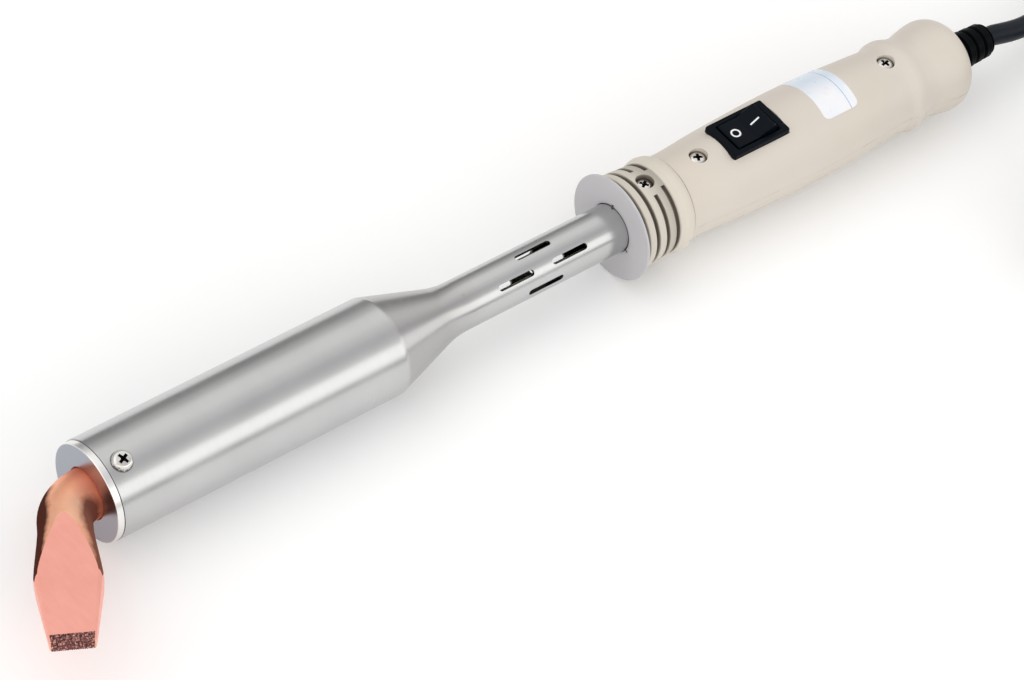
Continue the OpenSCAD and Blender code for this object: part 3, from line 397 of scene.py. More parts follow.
def copper_flat():
    """Flats as they come off the file: matte, salmon, with faint strokes, marks and a few nicks."""
    c = (0.98, 0.465, 0.38)
    m = Mat("bit_filed", c, 0.46, metal=1.0)
    strokes = m.noise(1500, 3, 0.6, stretch=(0.5, 0.09, 0.5))
    cloud = m.noise(95, 4, 0.6)
    tone = m.ramp(cloud, [(0.28, (0.94, 0.42, 0.335)), (0.55, c), (0.78, (0.99, 0.505, 0.42))])
    tone = m.mix(m.span(strokes, 0.35, 0.7, 0.0, 0.18), tone, (0.84, 0.31, 0.25))
    nick = m.span(m.cells(260), 0.03, 0.06, 1.0, 0.0)
    nick = m.math("MULTIPLY", nick, m.span(m.noise(120, 1), 0.58, 0.64))
    tone = m.mix(m.math("MULTIPLY", nick, 0.6), tone, (0.45, 0.16, 0.10))
    m.color(tone)
    m.rough(m.span(cloud, 0.3, 0.7, 0.42, 0.52))
    m.bump(strokes, 0.00002, 0.4)
    return m


def copper_teeth():
    """The serrated end: dark tarnish in the valleys, bare metal on the ridges."""
    m = Mat("bit_oxide", (0.42, 0.17, 0.14), 0.55, metal=0.7)
    speck = m.noise(1700, 3, 0.7)
    streak = m.noise(900, 2, 0.6, stretch=(1, 0.35, 0.35))
    tone = m.ramp(speck, [(0.40, (0.06, 0.018, 0.018)), (0.52, (0.27, 0.10, 0.09)), (0.64, (0.92, 0.55, 0.48))])
    m.color(m.mix(m.span(streak, 0.45, 0.65, 0.0, 0.5), tone, (0.16, 0.05, 0.05)))
    m.rough(m.span(speck, 0.3, 0.7, 0.7, 0.45))
    m.bump(speck, 0.00009, 0.7)
    return m


def label_film():
    """A blank film label: white, a little blue and pink at random, a painted bluish reflection where it faces up and
    to one side, and one thin blue rule.
    """
    m = Mat("label_film", (0.84, 0.85, 0.88), 0.3, spec=0.5)
    x, y, z = m.xyz()
    hue = m.noise(95, 2, 0.5)
    tone = m.ramp(hue, [(0.3, (0.76, 0.82, 0.90)), (0.5, (0.86, 0.87, 0.90)), (0.72, (0.90, 0.86, 0.88))])
    line = m.math("ABSOLUTE", m.math("SUBTRACT", x, 0.12205))
    wobble = m.span(m.noise(2500, 1), 0.3, 0.7, 0.00009, 0.00014)
    rule = m.math("LESS_THAN", line, wobble)
    # painted reflection: bluish where the film faces up and to one side
    tone = m.mix(m.math("MULTIPLY", m.facing((-0.1, 0.55, 0.82), 0.72, 0.98), 0.6), tone, (0.60, 0.73, 0.85))
    tone = m.mix(m.math("MULTIPLY", rule, 0.8), tone, (0.10, 0.27, 0.55))
    m.color(tone)
    m.rough(m.span(m.noise(300, 2), 0.3, 0.7, 0.26, 0.36))
    m.bump(m.noise(330, 2, 0.4), 0.00003, 0.25)
    return m


def build_materials():
    M = MATS
    M["barrel_steel"] = steel("barrel_steel", (0.565, 0.565, 0.565), 0.235, pits=True, extra=barrel_tint)
    M["zinc_plate"] = steel("zinc_plate", (0.385, 0.405, 0.46), 0.26, turned=1.4, extra=cap_tint)
    M["screw_zinc"] = steel("screw_zinc", (0.72, 0.70, 0.67), 0.17, turned=0.4)
    M["heater_steel"] = steel("heater_steel", (0.36, 0.33, 0.30), 0.42)
    M["nickel"] = steel("nickel", (0.70, 0.68, 0.63), 0.18, turned=0.6)
    M["contact_brass"] = steel("contact_brass", (0.80, 0.62, 0.30), 0.28)
    M["tinned_crimp"] = steel("tinned_crimp", (0.62, 0.62, 0.61), 0.35)
    M["lead_wire"] = steel("lead_wire", (0.52, 0.50, 0.47), 0.38)
    M["bit_copper"] = copper_round()
    M["bit_filed"] = copper_flat()
    M["bit_oxide"] = copper_teeth()
    M["mica"] = woven("mica", (0.55, 0.42, 0.24), 0.35, 0.0014, 0.00003)
    M["resistance_wire"] = woven("resistance_wire", (0.23, 0.20, 0.18), 0.45, 0.0007, 0.0002)
    M["fibre_blanket"] = woven("fibre_blanket", (0.74, 0.72, 0.66), 0.9, 0.001, 0.0002)
    M["steatite"] = plastic("steatite", (0.72, 0.68, 0.60), 0.55, grain=2, mottle=0.07)
    M["collar_plastic"] = plastic("collar_plastic", (0.68, 0.63, 0.545), 0.55, grain=1.5, extra=collar_tint)
    M["grip_plastic"] = plastic("grip_plastic", (0.665, 0.60, 0.52), 0.48, extra=grip_tint, mottle=0.02)
    M["label_film"] = label_film()
    M["switch_black"] = plastic("switch_black", (0.0025, 0.0045, 0.0075), 0.4, grain=1.2, spec=0.06, mottle=0.2)
    M["rocker_black"] = plastic("rocker_black", (0.002, 0.004, 0.007), 0.3, grain=0.5, spec=0.07, mottle=0.2)
    # near-black painted shade, for the faces down in the screws' cross recesses
    M["cross_dark"] = plastic("cross_dark", (0.006, 0.005, 0.005), 0.8, spec=0.02)
    M["mark_white"] = plastic("mark_white", (0.85, 0.86, 0.86), 0.4, grain=0.5)
    M["wire_brown"] = plastic("wire_brown", (0.17, 0.075, 0.035), 0.45)
    M["wire_blue"] = plastic("wire_blue", (0.045, 0.15, 0.42), 0.45)
    M["clamp_plastic"] = plastic("clamp_plastic", (0.03, 0.03, 0.033), 0.5, mottle=0.15)
    M["relief_rubber"] = plastic("relief_rubber", (0.0015, 0.0025, 0.003), 0.42, grain=2, spec=0.05, mottle=0.25)
    M["cord_rubber"] = plastic("cord_rubber", (0.006, 0.009, 0.014), 0.4, grain=1.5, spec=0.16, mottle=0.2)
    M["plug_rubber"] = plastic("plug_rubber", (0.014, 0.015, 0.018), 0.45, grain=2.5, mottle=0.2)

    g = Mat("wire_green", (0.12, 0.35, 0.07), 0.45)
    stripe = g.new("ShaderNodeTexWave", bands_direction="DIAGONAL")
    g.put(stripe.inputs["Vector"], g.coord)
    stripe.inputs["Scale"].default_value = 60
    g.color(g.ramp(stripe.outputs["Fac"], [(0.49, (0.62, 0.50, 0.04)), (0.51, (0.10, 0.32, 0.06))], "CONSTANT"))
    g.rough(g.span(g.noise(900), 0.3, 0.7, 0.4, 0.5))
    g.bump(g.noise(3000), 0.00001, 0.4)
    M["wire_green"] = g

    t = Mat("tie_plastic", (0.02, 0.02, 0.024), 0.7)
    loops = t.cells(1500)
    t.color(t.ramp(loops, [(0.0, (0.045, 0.045, 0.052)), (0.6, (0.012, 0.012, 0.015))]))
    t.rough(t.span(loops, 0.0, 0.6, 0.6, 0.85))
    t.bump(loops, 0.0003, 0.7)
    M["tie_plastic"] = t


build_materials()


# ---------------------------------------------------------------- mesh helpers

def link(ob):
    bpy.context.scene.collection.objects.link(ob)
    return ob


def mesh_object(name, verts, faces):
    me = bpy.data.meshes.new(name)
    me.from_pydata([tuple(v) for v in verts], [], faces)
    me.validate()
    return link(bpy.data.objects.new(name, me))


def from_bm(name, bm):
    bmesh.ops.recalc_face_normals(bm, faces=bm.faces)
    me = bpy.data.meshes.new(name)
    me.materials.append(None)
    me.materials.append(None)
    bm.to_mesh(me)
    bm.free()
    return link(bpy.data.objects.new(name, me))


def tidy(ob, merge=1e-4):
    bm = bmesh.new()
    bm.from_mesh(ob.data)
    bmesh.ops.remove_doubles(bm, verts=bm.verts, dist=merge)
    bmesh.ops.dissolve_degenerate(bm, dist=merge / 2, edges=bm.edges)
    bmesh.ops.recalc_face_normals(bm, faces=bm.faces)
    bm.to_mesh(ob.data)
    bm.free()
    return ob


def apply_all(ob):
    """Turns the object's modifiers into its mesh."""
    bpy.context.view_layer.update()
    dg = bpy.context.evaluated_depsgraph_get()
    new = bpy.data.meshes.new_from_object(ob.evaluated_get(dg), preserve_all_data_layers=True, depsgraph=dg)
    old = ob.data
    ob.modifiers.clear()
    ob.data = new
    bpy.data.meshes.remove(old)
    return ob


def combine(ob, tool, operation="DIFFERENCE"):
    m = ob.modifiers.new("cut", "BOOLEAN")
    m.operation = operation
    m.solver = "EXACT"
    m.object = tool
    apply_all(ob)
    data = tool.data
    bpy.data.objects.remove(tool)
    bpy.data.meshes.remove(data)
    return ob


def bevel(ob, width, segments=2, angle=32):
    m = ob.modifiers.new("bevel", "BEVEL")
    m.width = width
    m.segments = segments
    m.limit_method = "ANGLE"
    m.angle_limit = math.radians(angle)
    m.use_clamp_overlap = True
    m.miter_outer = "MITER_ARC"
    return apply_all(ob)


def smooth(ob, angle=40, weighted=True):
    me = ob.data
    me.polygons.foreach_set("use_smooth", [True] * len(me.polygons))
    me.set_sharp_from_angle(angle=math.radians(angle))
    if weighted:
        m = ob.modifiers.new("normals", "WEIGHTED_NORMAL")
        m.keep_sharp = True
        m.weight = 60
        apply_all(ob)
    return ob


def settle(ob, body, slot, material=None, replaces=(), extra=()):
    """From millimetres about the tool's axis to metres in the row frame, then onto its body."""
    ob.data.transform(Matrix.Scale(MM, 4) @ Matrix.Translation(-ORIGIN))
    names = [material or slot, *extra]
    while len(ob.data.materials) < len(names):
        ob.data.materials.append(None)
    for i, name in enumerate(names):
        ob.data.materials[i] = MATS[name].m
    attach(ob, body)
    if replaces:
        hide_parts(*replaces)
    return ob


def rounded(points, steps=4):
    """A profile whose corners (x, r, fillet) become arcs; a corner with no fillet stays sharp."""
    out = []
    n = len(points)
    for i, p in enumerate(points):
        fillet = p[2] if len(p) > 2 else 0
        b = Vector(p[:2])
        if not fillet:
            out.append(tuple(b))
            continue
        a, c = Vector(points[i - 1][:2]), Vector(points[(i + 1) % n][:2])
        d1, d2 = (a - b).normalized(), (c - b).normalized()
        half = d1.angle(d2) / 2
        if half > 1.55:
            out.append(tuple(b))
            continue
        cut = min(fillet / math.tan(half), (a - b).length * 0.49, (c - b).length * 0.49)
        r = cut * math.tan(half)
        m = (d1 + d2).normalized()
        centre = b + m * (r / math.sin(half))
        s, e = b + d1 * cut - centre, b + d2 * cut - centre
        total = s.angle(e)
        for k in range(steps + 1):
            f = k / steps
            v = (s * math.sin((1 - f) * total) + e * math.sin(f * total)) / math.sin(total)
            out.append(tuple(centre + v))
    return out


def split_long(points, longest, closed=True):
    """Adds stations where a profile's straight run is long, so that cuts leave no long slivers."""
    out = []
    n = len(points)
    for i in range(n if closed else n - 1):
        a, b = points[i], points[(i + 1) % n]
        k = max(1, math.ceil(abs(b[0] - a[0]) / longest)) if min(a[1], b[1]) > 0.01 else 1
        out += [(a[0] + (b[0] - a[0]) * j / k, a[1] + (b[1] - a[1]) * j / k) for j in range(k)]
    if not closed:
        out.append(points[-1])
    return out


def lathe(name, profile, seg=128, closed=True, start=0.0, turn=360.0):
    """A solid of revolution about the X axis from (x, r) points. turn under 360 gives a capped part."""
    full = turn >= 360
    cols = seg if full else seg + 1
    verts = []
    for k in range(cols):
        a = math.radians(start + turn * k / seg)
        verts += [(x, -r * math.sin(a), r * math.cos(a)) for x, r in profile]
    n = len(profile)
    faces = []
    for k in range(seg):
        k2 = (k + 1) % cols
        for i in range(n if closed else n - 1):
            j = (i + 1) % n
            faces.append((k * n + i, k * n + j, k2 * n + j, k2 * n + i))
    if not full:
        faces.append(tuple(range(n)))
        faces.append(tuple(reversed(range(seg * n, seg * n + n))))
    return tidy(mesh_object(name, verts, faces))


def rounded_rect(x0, x1, y0, y1, r, steps=5, inset=0.0):
    x0, x1, y0, y1 = x0 + inset, x1 - inset, y0 + inset, y1 - inset
    r = max(r - inset, 0.02)
    pts = []
    for cx, cy, a0 in ((x1 - r, y1 - r, 0), (x0 + r, y1 - r, 90), (x0 + r, y0 + r, 180), (x1 - r, y0 + r, 270)):
        for k in range(steps + 1):
            a = math.radians(a0 + 90 * k / steps)
            pts.append((cx + r * math.cos(a), cy + r * math.sin(a)))
    return pts


def slab(name, levels):
    """A solid from outlines at rising heights: levels is a list of (z, outline)."""
    n = len(levels[0][1])
    verts = [(x, y, z) for z, outline in levels for x, y in outline]
    faces = []
    for k in range(len(levels) - 1):
        for i in range(n):
            j = (i + 1) % n
            faces.append((k * n + i, k * n + j, (k + 1) * n + j, (k + 1) * n + i))
    faces.append(tuple(reversed(range(n))))
    faces.append(tuple(range((len(levels) - 1) * n, len(levels) * n)))
    return tidy(mesh_object(name, verts, faces))


def block(name, x0, x1, y0, y1, z0, z1, r=0.3):
    outline = rounded_rect(x0, x1, y0, y1, r)
    return slab(name, [(z0, outline), (z1, outline)])


def peg(name, x, y, z0, z1, r, seg=64, z_turn=None, top_r=None):
    """An upright round cutter."""
    top = r if top_r is None else top_r
    ring = lambda q: [(x + q * math.cos(2 * math.pi * k / seg), y + q * math.sin(2 * math.pi * k / seg)) for k in range(seg)]
    return slab(name, [(z0, ring(r)), (z1, ring(top))])


def around(ob, x, angle):
    ob.data.transform(Matrix.Translation((x, 0, 0)) @ Matrix.Rotation(math.radians(angle), 4, "X"))
    return ob


# ---------------------------------------------------------------- supply cord

CORD_R = 0.00325
COIL_X, COIL_OUT_R, COIL_ENTRY_Y = 0.268, 0.0464, 0.028
COIL_Y = COIL_ENTRY_Y - COIL_OUT_R
COIL_TURNS, COIL_PITCH, COIL_Z = 2.75, 0.0072, 0.00405
CORD_FREE = [
    (0.1886, 0.016, 0.0166), (0.192, 0.0159, 0.0164), (0.196, 0.0154, 0.0157), (0.201, 0.015, 0.0148),
    (0.207, 0.0152, 0.0138), (0.214, 0.0165, 0.0124), (0.222, 0.0189, 0.0105), (0.231, 0.0221, 0.0082),
    (0.24, 0.0251, 0.0061), (0.248, 0.0271, 0.0047), (0.255, 0.0279, 0.0041), (0.2615, 0.028, 0.00405)
]
CORD_TAIL = [
    (0.2615, -0.0648, 0.01125), (0.2595, -0.06475, 0.0113), (0.255, -0.0643, 0.0118), (0.25, -0.0633, 0.013),
    (0.2447, -0.0616, 0.0149), (0.2395, -0.06, 0.0168), (0.2345, -0.059, 0.018), (0.23, -0.0585, 0.0185),
    (0.228, -0.0585, 0.0185)
]


def curve_through(points, count):
    """Points spaced along a Catmull-Rom curve through the given ones."""
    p = [Vector(q) for q in points]
    p = [2 * p[0] - p[1]] + p + [2 * p[-1] - p[-2]]
    dense = []
    for i in range(1, len(p) - 2):
        for k in range(24):
            t = k / 24
            dense.append(0.5 * (
                2 * p[i] + (p[i + 1] - p[i - 1]) * t
                + (2 * p[i - 1] - 5 * p[i] + 4 * p[i + 1] - p[i + 2]) * t * t
                + (3 * p[i] - p[i - 1] - 3 * p[i + 1] + p[i + 2]) * t ** 3
            ))
    dense.append(p[-2])
    far = [0.0]
    for a, b in zip(dense, dense[1:]):
        far.append(far[-1] + (b - a).length)
    out, j = [], 0
    for k in range(count):
        want = far[-1] * k / (count - 1)
        while j < len(far) - 2 and far[j + 1] < want:
            j += 1
        f = (want - far[j]) / max(far[j + 1] - far[j], 1e-9)
        out.append(dense[j].lerp(dense[j + 1], min(max(f, 0), 1)))
    return out


def coil_point(t):
    """Where the coil is after t turns: in along the floor, up a layer, and out again."""
    r = COIL_OUT_R - COIL_PITCH * (COIL_TURNS - abs(t - COIL_TURNS))
    s = min(max((t - COIL_TURNS + 0.25) / 0.5, 0), 1)
    z = COIL_Z + COIL_PITCH * s * s * (3 - 2 * s)
    a = math.radians(90 - 360 * t)
    return Vector((COIL_X + r * math.cos(a), COIL_Y + r * math.sin(a), z))


def make_cord():
    steps = 60
    coil = [coil_point(i / steps) for i in range(round(2 * COIL_TURNS * steps) + 1)]
    path = curve_through(CORD_FREE, 24) + coil + curve_through(CORD_TAIL, 14)
    length = sum((b - a).length for a, b in zip(path, path[1:]))
    data = bpy.data.curves.new("cord", "CURVE")
    data.dimensions = "3D"
    data.bevel_depth = CORD_R
    data.bevel_resolution = 6
    data.use_fill_caps = True
    s = data.splines.new("POLY")
    s.points.add(len(path) - 1)
    for q, v in zip(s.points, path):
        q.co = (*v, 1)
    s.use_smooth = True
    data.materials.append(MATS["cord_rubber"].m)
    ob = link(bpy.data.objects.new("cord", data))
    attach(ob, HANDLE)
    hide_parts("supply_cord", "cord_coil", "cord_tail")
    return ob, length


cord, cord_length = make_cord()


def make_tie():
    """A hook-and-loop strap round the coil, with its end lapped over on the outside."""
    x0, x1, z0, z1, t = 268 + 26.3, 268 + 48.05, 0.35, 14.65, 0.5
    def loop(out):
        return rounded_rect(x0 - out, x1 + out, z0 - out, z1 + out, 3.4 + out, steps=8)
    levels = [(0.0, 0.15), (0.15, 0.0), (7.85, 0.0), (8.0, 0.15)]
    verts, faces = [], []
    n = len(loop(0))
    for y, thin in levels:
        verts += [(x, -22.4 + y, z) for x, z in loop(t / 2 - thin / 2)]
    for y, thin in reversed(levels):
        verts += [(x, -22.4 + y, z) for x, z in loop(-t / 2 + thin / 2)]
    rows = 2 * len(levels)
    for k in range(rows):
        for i in range(n):
            j = (i + 1) % n
            k2 = (k + 1) % rows
            faces.append((k * n + i, k * n + j, k2 * n + j, k2 * n + i))
    ob = tidy(mesh_object("coil_strap", verts, faces))
    lap = [(x, z) for x, z in loop(t + 0.02) if x > x0 + 12 and z > 7.0]
    m = len(lap)
    lv, lf = [], []
    for d in (0.0, 0.35):
        for y in (0.4, 7.6):
            for i, (x, z) in enumerate(lap):
                cx, cz = (x0 + x1) / 2, (z0 + z1) / 2
                k = Vector((x - cx, z - cz)).normalized() * -(0.25 - d)
                lv.append((x + k.x, -22.4 + y, z + k.y))
    for i in range(m - 1):
        a, b, c, d = i, m + i, 2 * m + i, 3 * m + i
        lf += [(a, a + 1, b + 1, b), (c, d, d + 1, c + 1), (a, c, c + 1, a + 1), (b, b + 1, d + 1, d)]
    lf += [(0, m, 3 * m, 2 * m), (m - 1, 3 * m - 1, 4 * m - 1, 2 * m - 1)]
    flap = tidy(mesh_object("coil_flap", lv, lf))
    for o in (ob, flap):
        smooth(o, 45, weighted=False)
        o.data.transform(Matrix.Scale(MM, 4))
        o.data.materials.append(MATS["tie_plastic"].m)
        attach(o, HANDLE)
    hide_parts("coil_tie")
    return [ob, flap]


def make_plug():
    """A two-pole plug with side earth contacts, moulded on, lying on its rim beside the coil."""
    R = 18.5
    body = lathe("plug", rounded([
        (0, 0.001), (0, R, 0.9), (13.5, R, 0.6), (15.2, R - 0.9, 0.5), (17.5, R - 0.9, 0.8), (21, R - 4.6, 1.5),
        (29, R - 5.6, 2.5), (36.5, 9.2, 1.6), (38, 7.0, 0.4)
    ] + [q for i in range(5) for q in (
        (38.3 + i * 4.4, 6.4 - 0.42 * i, 0.25), (40.2 + i * 4.4, 6.4 - 0.42 * i, 0.25),
        (40.7 + i * 4.4, 5.5 - 0.42 * i, 0.15), (42.0 + i * 4.4, 5.5 - 0.42 * i, 0.15)
    )] + [(60, 3.9, 0.3), (60, 0.001)], steps=3), seg=96, closed=False)
    for s in (-1, 1):
        z = s * (R - 1.6)
        combine(body, block("c", -1, 13.2, -2.5, 2.5, min(z, s * 20), max(z, s * 20), 0.2))
        # guide grooves on both flanks, and finger hollows in the waist
        combine(body, block("c", -1, 12.5, s * R - 1.7, s * R + 1.7, -2.6, 2.6, 0.3))
        hollow = lathe("c", [(-7, 0.001), (-6, 3.2), (-3, 4.6), (0, 5.0), (3, 4.6), (6, 3.2), (7, 0.001)], 48, closed=False)
        hollow.data.transform(Matrix.Translation((26, s * 17.0, 0)))
        combine(body, hollow)
    for s in (-1, 1):
        hole = lathe("c", [(-1, 0.001), (-1, 2.2), (8, 2.2), (8, 0.001)], 32, closed=False)
        hole.data.transform(Matrix.Translation((0, s * 9.5, 0)))
        combine(body, hole)
    bevel(body, 0.25, 2, 35)
    smooth(body, 40)
    pins = []
    for s, name in ((-1, "plug_pin_right"), (1, "plug_pin_left")):
        pin = lathe(name, rounded([
            (8, 0.001), (8, 2.0), (-0.05, 2.0), (-0.05, 2.4, 0.1), (-9.0, 2.4), (-9.15, 2.3), (-9.3, 2.4),
            (-17.4, 2.4, 1.0), (-19, 1.0, 0.5), (-19, 0.001)
        ], steps=5), 48, closed=False)
        pin.data.transform(Matrix.Translation((0, s * 9.5, 0)))
        smooth(pin, 40)
        pins.append(pin)
    clips = []
    for s, name in ((-1, "earth_clip_low"), (1, "earth_clip_high")):
        # a sprung strip, bowed a little outwards
        v, f = [], []
        n = 14
        for k in range(n + 1):
            x = 0.6 + 11.8 * k / n
            rise = 0.38 * math.sin(math.pi * k / n)
            for y in (-2.1, 2.1):
                for t in (0.0, 0.45):
                    v.append((x, y, s * (R - 1.5 + rise * 0.9 + t)))
        for k in range(n):
            a = 4 * k
            f += [(a, a + 4, a + 6, a + 2), (a + 1, a + 3, a + 7, a + 5), (a, a + 1, a + 5, a + 4), (a + 2, a + 6, a + 7, a + 3)]
        f += [(0, 2, 3, 1), (4 * n, 4 * n + 1, 4 * n + 3, 4 * n + 2)]
        clip = tidy(mesh_object(name, v, f))
        bevel(clip, 0.1, 2, 40)
        smooth(clip, 40)
        clips.append(clip)
    for o, slot in [(body, "plug_rubber")] + [(p, "nickel") for p in pins] + [(c, "contact_brass") for c in clips]:
        o.data.transform(Matrix.Scale(MM, 4) @ Matrix.Translation((168, -58.5, 18.5)))
        o.data.materials.clear()
        o.data.materials.append(MATS[slot].m)
        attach(o, HANDLE)
    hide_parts("plug_body")
    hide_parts("plug_pins")
    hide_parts("earth_contacts")
    return [body] + pins + clips


tie = make_tie()
plug = make_plug()


# ---------------------------------------------------------------- screws

def pan_screw(name, length, d=5.8, h=2.0, skirt=0.0):
    """A cross-recessed pan head on a threaded shank, with its seat at z = 0."""
    thread = []
    z = -length + 0.4
    while z < -0.8:
        thread += [(z, 1.22), (z + 0.25, 1.5)]
        z += 0.5
    prof = [(-length, 0.001), (-length, 1.0)] + thread + [(-0.3, 1.3), (-skirt, 1.35), (-skirt, d / 2 - 0.15)]
    prof += [(-skirt + 0.15, d / 2), (h - 1.25, d / 2)]
    for a in range(12, 91, 13):
        c, s = math.cos(math.radians(a)), math.sin(math.radians(a))
        prof.append((h - 1.25 + 1.1 * s, d / 2 - 1.3 + 1.3 * c))
    prof += [(h - 0.04, 0.8), (h, 0.001)]
    ob = lathe(name, prof, 72, closed=False)
    ob.data.transform(Matrix.Rotation(math.radians(-90), 4, "Y"))
    w, ll, deep = 0.46, d * 0.30, 1.3
    for a in (0, 90):
        v, f = [], []
        for zz, hw, hl in ((h - deep, w * 0.62, ll * 0.45), (h + 0.3, w * 1.08, ll * 1.12)):
            v += [(-hl, -hw, zz), (hl, -hw, zz), (hl, hw, zz), (-hl, hw, zz)]
        f = [(3, 2, 1, 0), (4, 5, 6, 7), (0, 1, 5, 4), (1, 2, 6, 5), (2, 3, 7, 6), (3, 0, 4, 7)]
        wing = mesh_object("c", v, f)
        wing.data.transform(Matrix.Rotation(math.radians(a), 4, "Z"))
        combine(ob, wing)
    core = lathe("c", [(h - deep - 0.1, 0.001), (h - deep + 0.1, 0.3), (h + 0.3, 0.95), (h + 0.3, 0.001)], 24, closed=False)
    core.data.transform(Matrix.Rotation(math.radians(-90), 4, "Y"))
    combine(ob, core)
    bevel(ob, 0.05, 2, 38)
    ob.data.materials.append(None)
    ob.data.materials.append(None)
    bm = bmesh.new()
    bm.from_mesh(ob.data)
    # the faces down in the cross recess take the second slot, a near-black painted shade
    for f in bm.faces:
        c = f.calc_center_median()
        if 0.2 < c.z < h - 0.34 and math.hypot(c.x, c.y) < d * 0.36:
            f.material_index = 1
    bm.to_mesh(ob.data)
    bm.free()
    smooth(ob, 42)
    return ob


# ---------------------------------------------------------------- bit

BEND_R, BEND, ROLL, LEG, NECK = 13.25, 58.0, 12.6, 47.9, 0.0


def leg_frame():
    t = math.radians(BEND)
    start = Vector((-NECK - BEND_R * math.sin(t), -BEND_R + BEND_R * math.cos(t), 0))
    along = Vector((-math.cos(t), -math.sin(t), 0))
    side = Vector((-math.sin(t), math.cos(t), 0))
    return start + along * LEG, -along, side


TIP, U, V = leg_frame()
W = Vector((0, 0, 1))


def leg_point(u, v, w):
    """u from the working end up the leg, v to the side, w upwards, in the bend's plane."""
    return TIP + U * u + V * v + W * w


def half_thick(u):
    return 1.5 + 6.0 * u / 44


